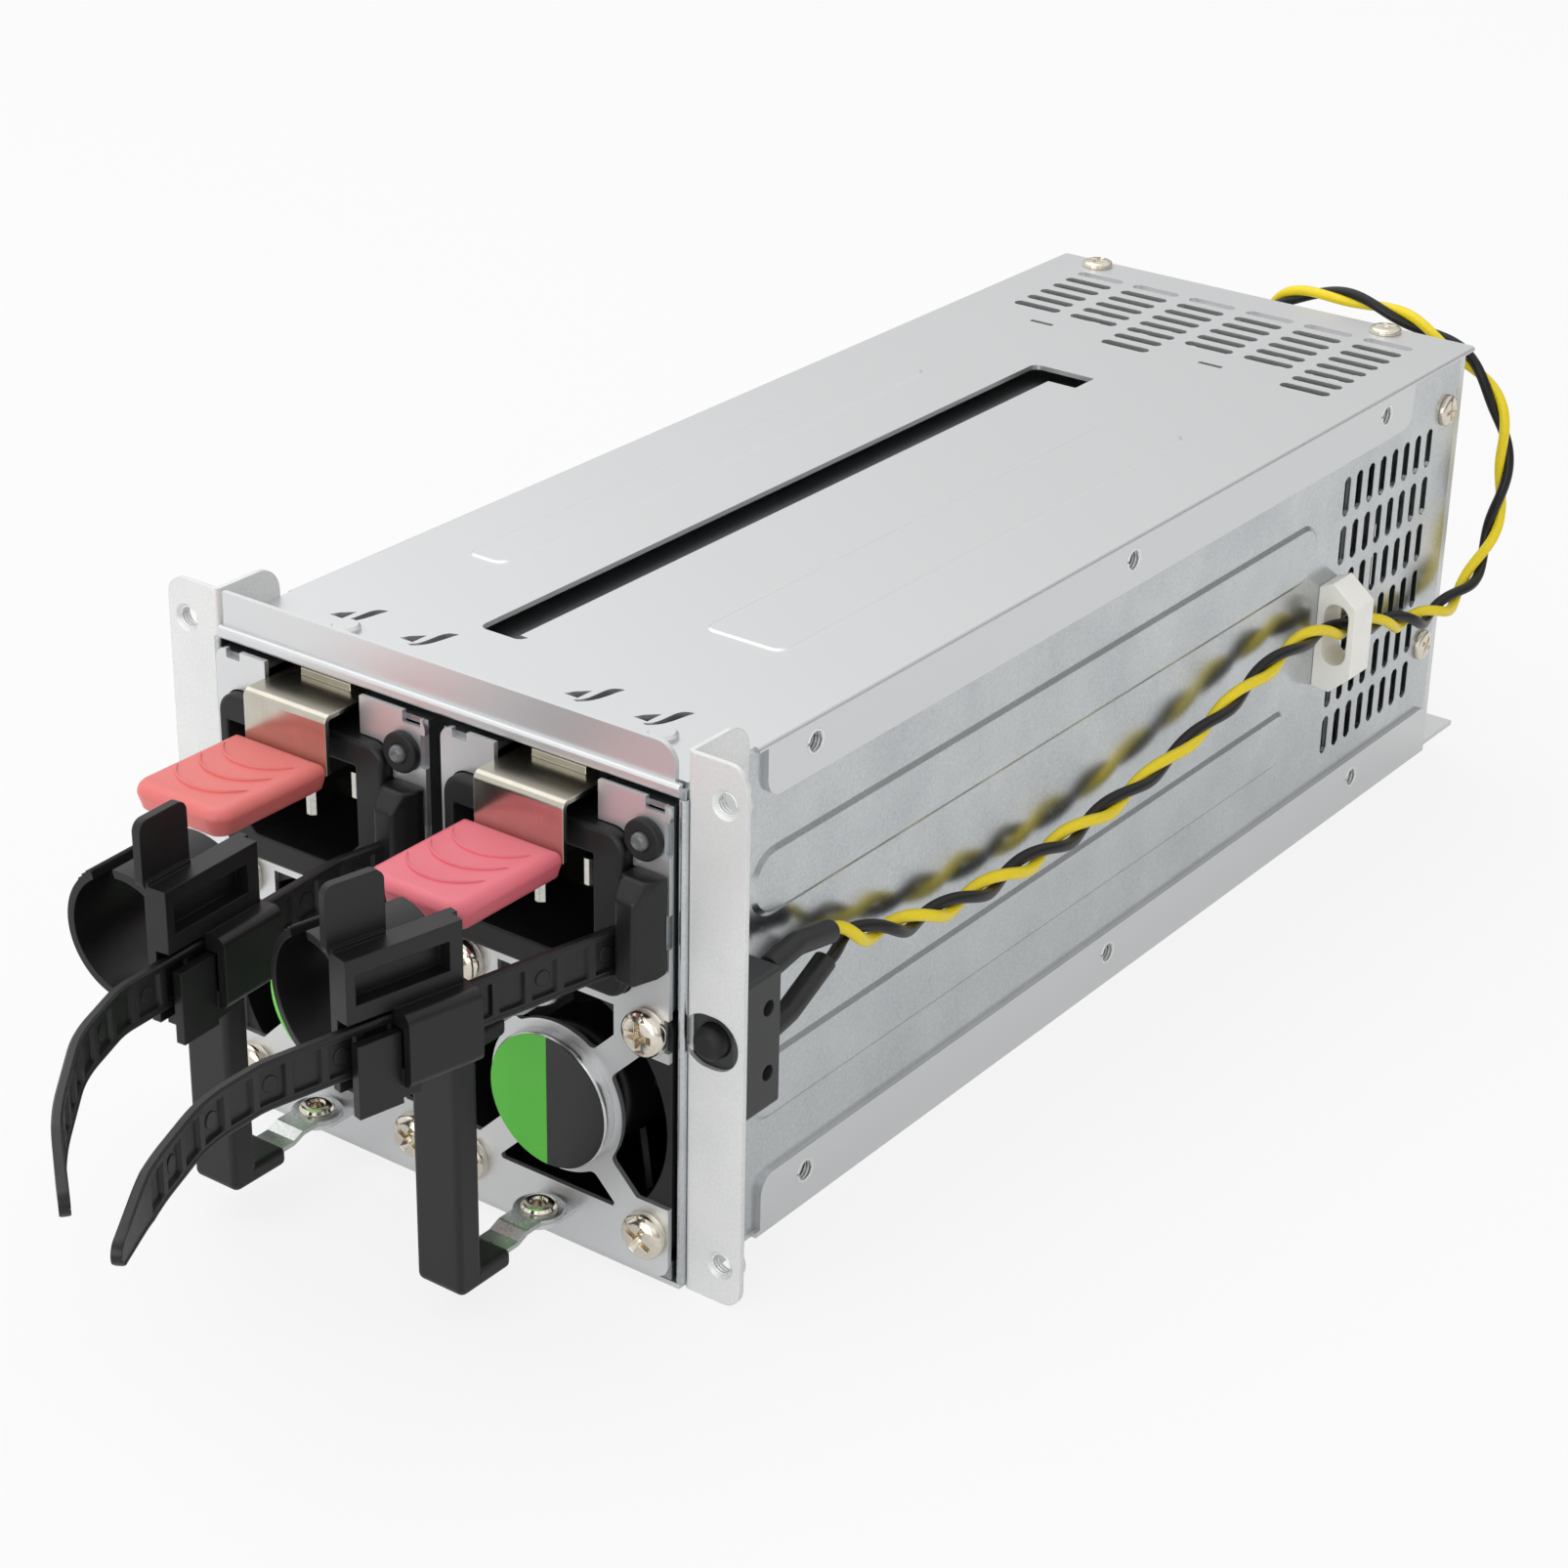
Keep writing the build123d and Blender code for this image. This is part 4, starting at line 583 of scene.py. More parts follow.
@dataclass
class Studio:
    """The photograph's camera, a pale floor and soft light.

    The world's light follows a direction: room_way points to where it is brightest, room_span
    gives the lowest and the highest reading along it and room_light the strength at both.
    """

    place: Point = (285.58, -315.72, 272.51)
    azimuth: float = 35.888
    elevation: float = 26.066
    roll: float = 1.191
    focal: float = 79.553
    sensor: float = 36.0
    floor_half: float = 6000.0
    camera_white: float = 0.8
    mirror_white: float = 0.32
    room_way: Point = (-0.2, -0.3, 1.0)
    room_span: Pair = (-0.36, 0.42)
    room_light: Pair = (0.12, 0.96)
    target: Point = (0, 90, 40)
    boxes: tuple[tuple[str, Point, float, float], ...] = (
        ("key_box", (60, -900, 280), 800, 3.3), ("fill_box", (700, -420, 420), 420, 0.2),
        ("top_box", (-380, 120, 820), 1000, 2.4))

    def camera(self) -> None:
        """Sets the camera at the photograph's place and angle."""
        data = bpy.data.cameras.new("camera")
        data.sensor_width = self.sensor
        data.lens = self.focal
        data.clip_start = 0.01
        data.clip_end = 50.0
        stand = Matrix.Translation(Vector(self.place) * MM)
        for angle, axis in ((self.azimuth, "Z"), (90 - self.elevation, "X"), (self.roll, "Z")):
            stand = stand @ Matrix.Rotation(math.radians(angle), 4, axis)
        camera = placed("camera", data)
        camera.matrix_world = stand
        bpy.context.scene.camera = camera

    def seen(self, tree: NodeTree) -> tuple[Node, NodeSocket]:
        """Adds what tells whether the camera sees a ray, also through glass, and whether a mirror does."""
        ray = add_node(tree, "ShaderNodeLightPath").outputs
        direct = add_node(tree, "ShaderNodeMath", {0: ray["Is Camera Ray"], 1: ray["Is Transmission Ray"]},
                          operation="MAXIMUM")
        return direct, ray["Is Glossy Ray"]

    def floor(self) -> None:
        """Lays the floor, white to the camera and in reflections, with the object's faint shadow."""
        half = self.floor_half * MM
        mesh = bpy.data.meshes.new("studio_floor")
        mesh.from_pydata([(-half, -half, 0), (half, -half, 0), (half, half, 0), (-half, half, 0)], [],
                         [(0, 1, 2, 3)])
        floor = placed("studio_floor", mesh)
        material = bpy.data.materials.new("white_sweep")
        tree = emptied(material)
        direct, mirrored = self.seen(tree)
        camera_share = add_node(tree, "ShaderNodeMath", {0: direct, 1: self.camera_white},
                                operation="MULTIPLY")
        mirror_share = add_node(tree, "ShaderNodeMath", {0: mirrored, 1: self.mirror_white},
                                operation="MULTIPLY")
        share = add_node(tree, "ShaderNodeMath", {0: camera_share, 1: mirror_share}, operation="MAXIMUM")
        paper = add_node(tree, "ShaderNodeBsdfDiffuse", {"Color": linear("#E2E2E2")})
        white = add_node(tree, "ShaderNodeEmission", {"Color": linear("#FFFFFF"), "Strength": 1.0})
        mixed = add_node(tree, "ShaderNodeMixShader", {0: share, 1: paper, 2: white})
        add_node(tree, "ShaderNodeOutputMaterial", {"Surface": mixed})
        mesh.materials.append(material)

    def world(self) -> None:
        """Makes a soft room, white to the camera and brightest overhead, in front and at the left."""
        world = bpy.data.worlds.new("studio")
        tree = emptied(world)
        way = add_node(tree, "ShaderNodeTexCoord")
        height = add_node(tree, "ShaderNodeVectorMath", {0: way.outputs["Generated"], 1: self.room_way},
                          operation="DOT_PRODUCT")
        low, high = self.room_span
        dim, bright = self.room_light
        ramp = add_node(tree, "ShaderNodeMapRange",
                        {"Value": height.outputs["Value"], "From Min": low, "From Max": high, "To Min": dim,
                         "To Max": bright})
        room = add_node(tree, "ShaderNodeBackground", {"Color": linear("#FAFAF9"), "Strength": ramp})
        white = add_node(tree, "ShaderNodeBackground", {"Color": linear("#FFFFFF"), "Strength": 1.0})
        sky = add_node(tree, "ShaderNodeMixShader", {0: self.seen(tree)[0], 1: room, 2: white})
        add_node(tree, "ShaderNodeOutputWorld", {"Surface": sky})
        bpy.context.scene.world = world

    def lamps(self) -> None:
        """Hangs three soft boxes: a key in front, a weak fill at the right and one overhead."""
        target = Vector(self.target) * MM
        for name, place, width, power in self.boxes:
            data = bpy.data.lights.new(name, "AREA")
            data.shape = "SQUARE"
            data.size = width * MM
            data.energy = power
            lamp = placed(name, data)
            lamp.location = Vector(place) * MM
            lamp.rotation_euler = (target - lamp.location).to_track_quat("-Z", "Y").to_euler()

    def build(self) -> None:
        """Makes the whole studio."""
        self.camera()
        self.floor()
        self.world()
        self.lamps()
        bpy.context.scene.view_settings.view_transform = "Standard"


@dataclass
class AlarmLead:
    """The twisted pair from the alarm switch to the rear panel, with its switch, sleeves and saddle.

    Each wave, a share, a length and a start, loosens the winding a little along the lead. The
    drift, a shift and a length, makes the twist tighter here and wider there.
    """

    route: tuple[Point, ...] = (
        (45.9, 25.6, 43.4), (45.9, 29.6, 44.0), (45.7, 40.0, 39.9), (45.4, 57.0, 36.2), (45.2, 80.0, 34.6),
        (45.2, 105.0, 34.9), (45.3, 129.0, 37.8), (45.3, 150.0, 41.8), (45.3, 165.5, 43.0),
        (45.3, 178.5, 39.4), (45.4, 191.0, 36.4), (45.5, 203.0, 32.4), (45.7, 214.5, 30.6),
        (45.9, 225.0, 32.6), (46.0, 232.0, 39.5), (46.6, 233.6, 50.0), (45.6, 233.4, 61.0),
        (40.5, 232.2, 70.0), (30.5, 231.4, 75.4), (18.0, 231.2, 78.2), (7.0, 231.0, 78.1),
        (-1.5, 231.0, 74.6), (-5.2, 231.0, 67.0), (-5.6, 230.0, 60.0), (-5.6, 225.6, 56.0),
        (-5.6, 220.5, 56.0))
    diameter: float = 3.8
    strand: float = 1.85
    closeness: float = 0.98
    length: float = 309.6
    twist: float = 23.0
    first_turn: float = 250.0
    waves: tuple[Point, ...] = ((0.16, 23.0, 0.0), (0.1, 9.7, 1.0))
    drift: Pair = (2.2, 31.0)
    sleeve_ends: tuple[Point, Point] = ((45.9, 26.4, 45.8), (45.9, 25.4, 40.8))
    lead_in: float = 8.0
    steps: int = 520
    around: int = 14

    def line(self) -> np.ndarray:
        """The points of the route's smooth line, in millimetres."""
        curve = bpy.data.curves.new("lead_route", "CURVE")
        curve.dimensions = "3D"
        curve.resolution_u = 16
        spline = curve.splines.new("NURBS")
        spline.points.add(len(self.route) - 1)
        for point, place in zip(spline.points, self.route):
            point.co = (*(Vector(place) * MM), 1.0)
        spline.order_u = 3
        spline.use_endpoint_u = True
        holder = bpy.data.objects.new("lead_route", curve)
        mesh = bpy.data.meshes.new_from_object(holder)
        points = np.array([v.co for v in mesh.vertices]) / MM
        bpy.data.objects.remove(holder)
        return points

    def axes(self, line: np.ndarray) -> tuple[np.ndarray, np.ndarray]:
        """Two axes square to a line at each of its points, carried along it without a twist."""
        ways = np.gradient(line, axis=0)
        ways /= np.linalg.norm(ways, axis=1)[:, None]
        side = np.cross(ways[0], (0.0, 0.0, 1.0))
        sides = []
        for way in ways:
            side = side - way * side.dot(way)
            side /= np.linalg.norm(side)
            sides.append(side)
        return np.array(sides), np.cross(ways, sides)

    def rings(self, line: np.ndarray) -> list[np.ndarray]:
        """The rings of points around one strand's middle line."""
        angles = np.arange(self.around) * math.tau / self.around
        return [centre + self.strand / 2 * (np.outer(np.cos(angles), side) + np.outer(np.sin(angles), other))
                for centre, side, other in zip(line, *self.axes(line))]

    def pair(self) -> None:
        """Winds the yellow and the black strand about the route, and leads both into their sleeves."""
        line = self.line()
        along = distances(line)
        places = np.linspace(0, along[-1], self.steps)
        centre = np.stack([np.interp(places, along, line[:, k]) for k in range(3)], axis=1)
        sides, others = self.axes(centre)
        loose = 1 + sum(share * np.sin(places / length + start) for share, length, start in self.waves)
        reach = (self.strand / 2 * self.closeness * loose)[:, None]
        shift, length = self.drift
        wound_length = places + shift * np.sin(places / length)
        angle = math.radians(self.first_turn) + math.tau * wound_length / self.twist
        share = np.clip(places / self.lead_in, 0, 1)[:, None]
        ease = share * share * (3 - 2 * share)
        strands = []
        for start, turn in zip(self.sleeve_ends, (angle[:, None], angle[:, None] + math.pi)):
            wound = centre + reach * (np.cos(turn) * sides + np.sin(turn) * others)
            strands.append(self.rings((start + centre - centre[0]) * (1 - ease) + wound * ease))
        pair = finished(mesh_of_loops(*strands), "alarm_lead_pair", "cage",
                        [Surface.PVC_YELLOW, Surface.PVC_BLACK], 60.0, ("alarm_lead",))
        faces = pair.data.polygons
        faces.foreach_set("material_index", np.repeat([0, 1], len(faces) // 2))
        tuple(Vector(self.route[1]) * MM)

    def build(self) -> None:
        """Makes the lead and dresses its switch, sleeves and saddle."""
        self.pair()
        softened("lead_sleeves", Surface.SLEEVE, 0.3)
        softened("alarm_switch", Surface.SWITCH, 0.2)
        softened("alarm_button", Surface.RUBBER, 0.2)
        softened("cable_saddle", Surface.NYLON_NATURAL, 0.5, 3)


@dataclass
class Cage:
    """The steel cage, its fasteners and the power board at its rear.

    A rib is the width and the height of a line that is drawn on the sheet.
    """

    roof: float = 77.0
    wall: float = 41.7
    depth: float = 224.0
    board: float = 195.6
    half: float = 42.5
    roof_screw_x: Pair = (-33.3, 26.5)
    roof_screw_inset: float = 3.0
    wall_screw_z: Pair = (22.4, 67.1)
    wall_screw_inset: float = 7.5
    side_hole_y: Point = (27.4, 109.5, 191.6)
    side_hole_z: Pair = (5.5, 73.3)
    side_rim: float = 1.72
    rim_sink: float = 0.05
    rim_rib: Pair = (0.5, 0.2)
    thread_sink: float = 0.15
    thread_rib: Pair = (0.26, 0.13)
    side_hole: float = 1.55
    side_turns: float = 4.0
    ear_hole_x: float = 48.0
    ear_hole_z: Pair = (6.0, 76.0)
    ear_hole: float = 1.62
    ear_depth: float = 1.6
    ear_sink: float = 0.35
    ear_rib: Pair = (0.28, 0.13)
    thread_pitch: float = 0.5
    solder_x: Point = (-38, 39, 3.8)
    solder_z: tuple[float, ...] = (44, 48, 52, 62, 66)
    solder_stray: float = 0.06
    solder_cone: Outline = ((0.95, 0.0), (0.8, 0.25), (0.45, 0.6), (0.3, 1.1), (0.18, 1.2))
    screw: PanHead = field(default_factory=lambda: PanHead(2.8, 1.15, 1.7, 0.75, 0.8))
    coats: dict[Surface, tuple[str, ...]] = field(default_factory=lambda: {
        Surface.GALVANISED: ("base_tray", "top_cover", "front_frame", "rear_panel", "divider",
                             "cover_rivets"),
        Surface.WALL_SHEET: ("side_wall_left", "side_wall_right"),
        Surface.EAR_SHEET: ("ear_brackets",),
        Surface.LAMINATE: ("backplane_board",),
        Surface.ABS_BLACK: ("card_edge_sockets", "output_header")})

    def screws(self) -> None:
        """Sets the screws of the roof and the walls, each turned its own way."""
        seats = [(x, self.depth - self.roof_screw_inset, self.roof) for x in self.roof_screw_x]
        ways = [(0, 0, 1)] * 2
        for side in (-1, 1):
            for z in self.wall_screw_z:
                seats.append((side * self.wall, self.depth - self.wall_screw_inset, z))
                ways.append((side, 0, 0))
        scattered(seats, ways, self.screw.mesh(), "case_screw_heads", "cage", Surface.NICKEL,
                  ("case_screws",), 37)

    def threads(self) -> None:
        """Draws the threads that show in the ears' extruded holes, pale as a painted highlight of their lit
        walls.
        """
        thread = coil(self.ear_hole, self.thread_pitch, self.ear_depth / self.thread_pitch, 90)[:, [0, 2, 1]]
        lines = [thread + (x, self.ear_sink, z)
                 for x in (-self.ear_hole_x, self.ear_hole_x) for z in self.ear_hole_z]
        swept(lines, *self.ear_rib, False, "ear_threads", "cage", Surface.HOLE_HIGHLIGHT)

    def collars(self) -> None:
        """Draws the pale rim and the thread of every tapped hole in the sides, bright as a painted highlight
        of the holes' lit walls.
        """
        rim = coil(self.side_rim, 0.0, 1.0, 33)[:, [2, 0, 1]] + (self.rim_sink, 0, 0)
        thread = coil(self.side_hole, self.thread_pitch, self.side_turns, 110)[:, [2, 0, 1]]
        thread += (self.thread_sink, 0, 0)
        spots = [(side, (side * self.half, y, z))
                 for side in (-1, 1) for y in self.side_hole_y for z in self.side_hole_z]
        for shape, rib, name in ((rim, self.rim_rib, "side_hole_rims"),
                                 (thread, self.thread_rib, "side_threads")):
            lines = [shape * (-side, 1, 1) + place for side, place in spots]
            swept(lines, *rib, False, name, "cage", Surface.HOLE_HIGHLIGHT)

    def solder(self) -> None:
        """Sets the solder joints on the rear of the power board, a little uneven in place."""
        dice = np.random.default_rng(11)
        seats = []
        for x in np.arange(*self.solder_x):
            for z in self.solder_z:
                seats.append((float(x) + dice.normal(0, self.solder_stray), self.board,
                              z + dice.normal(0, self.solder_stray)))
        scattered(seats, [(0, 1, 0)] * len(seats), turned(self.solder_cone, 14), "solder_joints", "cage",
                  Surface.SOLDER)

    def build(self) -> None:
        """Dresses the sheet metal and makes the fasteners."""
        for surface, nodes in self.coats.items():
            for node in nodes:
                dress(node, surface)
        self.screws()
        self.threads()
        self.collars()
        self.solder()


def filleted(points: Outline, radii: tuple[float, ...]) -> np.ndarray:
    """Rounds the corners of a flat line with arcs.

    Args:
        points: the line's corners, from its start to its end.
        radii: the radius at each inner corner.
    Returns:
        Points along the rounded line.
    """
    corners = [np.array(point) for point in points]
    line = [corners[0][None]]
    for before, corner, after, radius in zip(corners, corners[1:], corners[2:], radii):
        arriving = (corner - before) / np.linalg.norm(corner - before)
        leaving = (after - corner) / np.linalg.norm(after - corner)
        turn = math.acos(float(np.clip(arriving @ leaving, -1, 1)))
        start = corner - arriving * radius * math.tan(turn / 2)
        end = corner + leaving * radius * math.tan(turn / 2)
        inward = (leaving - arriving) / np.linalg.norm(leaving - arriving)
        centre = corner + inward * radius / math.cos(turn / 2)
        share = np.linspace(0, 1, 25)[:, None]
        line.append(centre + (np.sin((1 - share) * turn) * (start - centre)
                              + np.sin(share * turn) * (end - centre)) / math.sin(turn))
    line.append(corners[-1][None])
    return np.concatenate(line)


@dataclass
class CordStrap:
    """A ladder strap: an anchor on the plate and a band with pockets, narrowing to a round tip.

    The clip slides on the straight run that starts at corner clip_run, and rests at clip_y. The
    clip_ring is the middle of its ring, across and up, and the ring's radius.
    """

    side: str
    middle: float
    corners: Outline
    bends: tuple[float, ...]
    clip_run: int
    clip_y: float
    low: float = 50.0
    height: float = 7.0
    thickness: float = 1.4
    pitch: float = 5.2
    pocket: Pair = (3.8, 4.6)
    depth: float = 0.5
    slope: float = 0.16
    first: float = 15.0
    root_gap: float = 3.6
    taper: float = 13.0
    tip: float = 1.7
    edge: float = 0.28
    rail: float = 0.6
    rail_height: float = 0.14
    step: float = 1.3
    beside: float = 0.4
    mark: Outline = ((1.15, -0.1), (1.15, 0.1), (1.05, 0.18))
    anchor: Outline = ((13.8, -2.0), (13.8, -5.4), (15.0, -7.8), (18.2, -7.8), (19.4, -4.0), (19.4, -2.0))
    anchor_top: float = 64.2
    anchor_foot: float = 0.4
    anchor_cut: float = 2.4
    clip_ring: Point = (-7.4, 57.5, 9.65)
    clip_length: Pair = (5.9, -7.4)
    tooth_angles: tuple[float, ...] = (123, 129, 135, 141)
    tooth_rib: Pair = (0.5, 0.3)

    def __post_init__(self) -> None:
        """Measures the band's middle line and places its pockets."""
        self.line = filleted(self.corners, self.bends)
        self.along = distances(self.line)
        self.length = float(self.along[-1])
        count = int((self.length - self.first - self.root_gap) / self.pitch) + 1
        self.pockets = self.length - self.first - self.pitch * np.arange(count)

    def at(self, places: np.ndarray) -> tuple[np.ndarray, np.ndarray]:
        """Points of the middle line and outward directions of the right face, at some lengths along it."""
        flat, ahead, behind = (stacked(*(np.interp(places + shift, self.along, axis) for axis in self.line.T))
                               for shift in (0.0, self.beside, -self.beside))
        way = ahead - behind
        way /= np.linalg.norm(way, axis=1)[:, None]
        return flat, stacked(-way[:, 1], way[:, 0])

    def half_height(self, places: np.ndarray) -> np.ndarray:
        """Half the band's height at some lengths along it."""
        start = self.length - self.taper
        end = self.length - self.tip
        half = np.interp(places, [start, end], [self.height / 2, self.tip])
        past = np.clip(places - end, 0, self.tip * 0.998)
        return np.where(places > end, np.sqrt(self.tip ** 2 - past ** 2), half)

    def section(self, sunk: float) -> np.ndarray:
        """The band's outline: how far each point stands out and up, where pockets are sunk by a share."""
        full = self.height / 2
        face = self.thickness / 2
        floor = face - self.rail_height
        half_pocket = self.pocket[1] / 2
        right = [(face, full - self.edge), (face, full - self.rail), (floor, full - self.rail - self.slope),
                 (floor, half_pocket + self.slope / 2),
                 (floor - self.depth * sunk, half_pocket - self.slope / 2)]
        mirrored = [(lift, -level) for lift, level in reversed(right)]
        inner = face - self.edge
        return np.array(right + mirrored + [(inner, -full), (-inner, -full), (-face, self.edge - full),
                                            (-face, full - self.edge), (-inner, full), (inner, full)])

    def band(self) -> None:
        """Draws the band with its rails and pockets."""
        half = self.pocket[0] / 2
        knots, values = [0.0], [0.0]
        for centre in self.pockets[::-1]:
            for shift, value in ((-half - self.slope, 0.0), (-half + self.slope, 1.0),
                                 (half - self.slope, 1.0), (half + self.slope, 0.0)):
                knots.append(centre + shift)
                values.append(value)
        round_end = self.length - self.tip * (1 - np.sin(np.radians(np.linspace(0, 88, 9))))
        even = np.arange(0, self.length - self.tip, self.step)
        places = np.unique(np.concatenate([knots, round_end, even]))
        sunk = np.interp(places, knots + [self.length], values + [0.0])
        loops = []
        for point, out, deep, reach in zip(*self.at(places), sunk, self.half_height(places)):
            lift, level = self.section(deep).T
            loops.append(stacked(self.middle + point[0] + out[0] * lift, point[1] + out[1] * lift,
                                 self.low + self.height / 2 + level * reach / (self.height / 2)))
        finished(mesh_of_loops(loops), f"cord_band_{self.side}", f"module_{self.side}", [Surface.NYLON_STRAP],
                 28.0, (f"cord_strap_{self.side}",))

    def dots(self) -> None:
        """Sets a round ejector mark in every second pocket."""
        flat, outward = self.at(self.pockets[1::2])
        lift = self.thickness / 2 - self.rail_height - self.depth
        seats = flat + outward * lift + (self.middle, 0.0)
        scattered(stacked(*seats.T, self.low + self.height / 2), stacked(*outward.T, 0.0),
                  turned(self.mark, 20), f"cord_band_marks_{self.side}", f"module_{self.side}",
                  Surface.NYLON_STRAP)

    def root(self) -> None:
        """Makes the anchor that clips into the plate."""
        corners = np.array(self.anchor)
        front = corners[:, 1].min() + self.anchor_cut
        cut = np.maximum(corners, (-np.inf, front))
        levels = ((corners, self.low - self.anchor_foot), (corners, self.anchor_top - self.anchor_cut),
                  (cut, self.anchor_top))
        loops = [stacked(*(outline + (self.middle, 0.0)).T, z) for outline, z in levels]
        finished(rounded(mesh_of_loops(loops), 0.5, 3), f"cord_anchor_{self.side}", f"module_{self.side}",
                 [Surface.NYLON_BLACK])

    def teeth(self) -> None:
        """Raises the grip teeth on the open end of the clip's ring."""
        start, end = (np.array(self.corners[k]) for k in (self.clip_run, self.clip_run + 1))
        way = (end - start) / np.linalg.norm(end - start)
        place = start + way * (self.clip_y - start[1]) / way[1]
        turn = math.atan2(way[0], -way[1])
        across, up, radius = self.clip_ring
        y = np.linspace(*self.clip_length, 4)
        lines = []
        for angle in np.radians(self.tooth_angles):
            x = across + radius * math.cos(angle)
            lines.append(stacked(self.middle + place[0] + x * math.cos(turn) - y * math.sin(turn),
                                 place[1] + x * math.sin(turn) + y * math.cos(turn),
                                 up + radius * math.sin(angle)))
        swept(lines, *self.tooth_rib, False, f"clip_teeth_{self.side}", f"clip_{self.side}",
              Surface.NYLON_BLACK)

    def build(self) -> None:
        """Makes the strap's pieces and softens its clip."""
        self.band()
        self.dots()
        self.root()
        softened(f"cord_clip_{self.side}", Surface.NYLON_BLACK, 0.35, 3)
        self.teeth()


@dataclass
class SupplyModule:
    """One hot swap module: shell, fan, inlet, latch, handle and cord retainer.

    The pivot is the handle's hinge line: its place in depth and the heights of its two links.
    """

    side: str
    middle: float
    thumb: Surface
    green: Surface
    strap: CordStrap
    fan_z: float = 23.9
    fan_reach: float = 16.0
    plate: float = -2.0
    sheet: float = 0.8
    badge_lift: float = 1.96
    badge_edge: Outline = ((10.1, 0.0), (10.1, -0.08), (10.0, -0.14))
    guard_ring: Pair = (13.0, 18.7)
    guard_corner: float = 2.6
    guard_tip: float = 0.5
    guard_bend: float = 60.0
    pivot: Point = (-6.0, 7.4, 42.2)
    rivet_sink: float = 0.45
    rivet: Outline = ((1.5, -1.7), (2.55, 0.0), (2.6, 0.3), (2.3, 0.72), (1.75, 0.9), (1.3, 0.86),
                      (1.05, 0.6), (0.95, -0.6))
    pad_profile: Outline = (
        (1.5, 0.0), (0.95, 0.1), (0.62, 0.42), (0.5, 0.9), (0.0, 2.5), (0.06, 2.95), (0.28, 3.45),
        (0.66, 3.85), (1.15, 4.1), (1.7, 4.2))
    pad_corners: Pair = (3.0, 1.0)
    ridge_apex: Point = (7.9, 12.3, 16.9)
    ridge_radius: float = 7.6
    ridge_reach: float = 62.0
    ridge_shift: float = 0.4
    ridge_sink: float = 0.02
    ridge_rib: Pair = (0.9, 0.22)
    screw: PanHead = field(default_factory=lambda: PanHead(3.5, 2.3, 2.15, 0.95, 1.5))

    def name(self, piece: str) -> str:
        """A piece's name with its module's side."""
        return f"{piece}_{self.side}"

    def screws(self) -> None:
        """Sets the fan's four screws."""
        seats = [(self.middle + x, self.plate, self.fan_z + z)
                 for x in (-self.fan_reach, self.fan_reach) for z in (-self.fan_reach, self.fan_reach)]
        scattered(seats, [(0, -1, 0)] * 4, self.screw.mesh(), self.name("fan_screw_heads"),
                  self.name("module"), Surface.NICKEL, (self.name("fan_screws"),), 31)

    def badge(self) -> None:
        """Lays the printed disc on the hub, one half green and the other dark."""
        for part, turn, surface in (("left", 90, self.green), ("right", -90, Surface.PRINT_DARK)):
            angles = np.radians(np.linspace(turn, turn + 180, 33))
            loops = [stacked(self.middle + radius * np.cos(angles), self.plate - self.badge_lift + y,
                             self.fan_z + radius * np.sin(angles)) for radius, y in self.badge_edge]
            finished(mesh_of_loops(loops), self.name(f"badge_{part}_half"), self.name("module"), [surface])

    def rivets(self) -> None:
        """Sets the semi-tubular rivets of the handle's links, rolled over at their open end."""
        node = self.name("handle_rivets")
        y, low, high = self.pivot
        seats = [(self.middle, y, low + self.rivet_sink), (self.middle, y, high - self.rivet_sink)]
        scattered(seats, [(0, 0, 1), (0, 0, -1)], turned(self.rivet, 28), self.name("rolled_rivets"),
                  frame["nodes"][node]["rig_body"], Surface.NICKEL, (node,))

    def pad(self) -> None:
        """Makes the thumb pad: round at its front corners, soft on top and narrower below."""
        node = self.name("latch_pad")
        low, high = (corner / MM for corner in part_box(node))
        front, rear = self.pad_corners
        loops = []
        for inset, rise in self.pad_profile:
            loop = []
            for x, y, radius, start in ((low.x, low.y, front, 180), (high.x, low.y, front, 270),
                                        (high.x, high.y, rear, 0), (low.x, high.y, rear, 90)):
                bend = max(radius - inset, 0.2)
                centre_x = x + (inset + bend) * (1 if x == low.x else -1)
                centre_y = y + (inset + bend) * (1 if y == low.y else -1)
                for turn in np.radians(np.linspace(start, start + 90, 9)):
                    loop.append((centre_x + bend * math.cos(turn), centre_y + bend * math.sin(turn),
                                 low.z + rise))
            loops.append(np.array(loop))
        finished(mesh_of_loops(loops), self.name("thumb_pad"), self.name("latch"), [self.thumb], 50.0,
                 (node,))

    def ridges(self) -> None:
        """Draws the three curved ridges on top of the thumb pad."""
        low, high = (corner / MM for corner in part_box(self.name("latch_pad")))
        centre = (low.x + high.x) / 2 - self.ridge_shift
        turns = np.radians(np.linspace(-self.ridge_reach, self.ridge_reach, 25))
        lines = [stacked(centre + self.ridge_radius * np.sin(turns),
                         high.y - apex + self.ridge_radius * (1 - np.cos(turns)),
                         high.z - self.ridge_sink) for apex in self.ridge_apex]
        swept(lines, *self.ridge_rib, True, self.name("pad_ridges"), self.name("latch"), self.thumb)

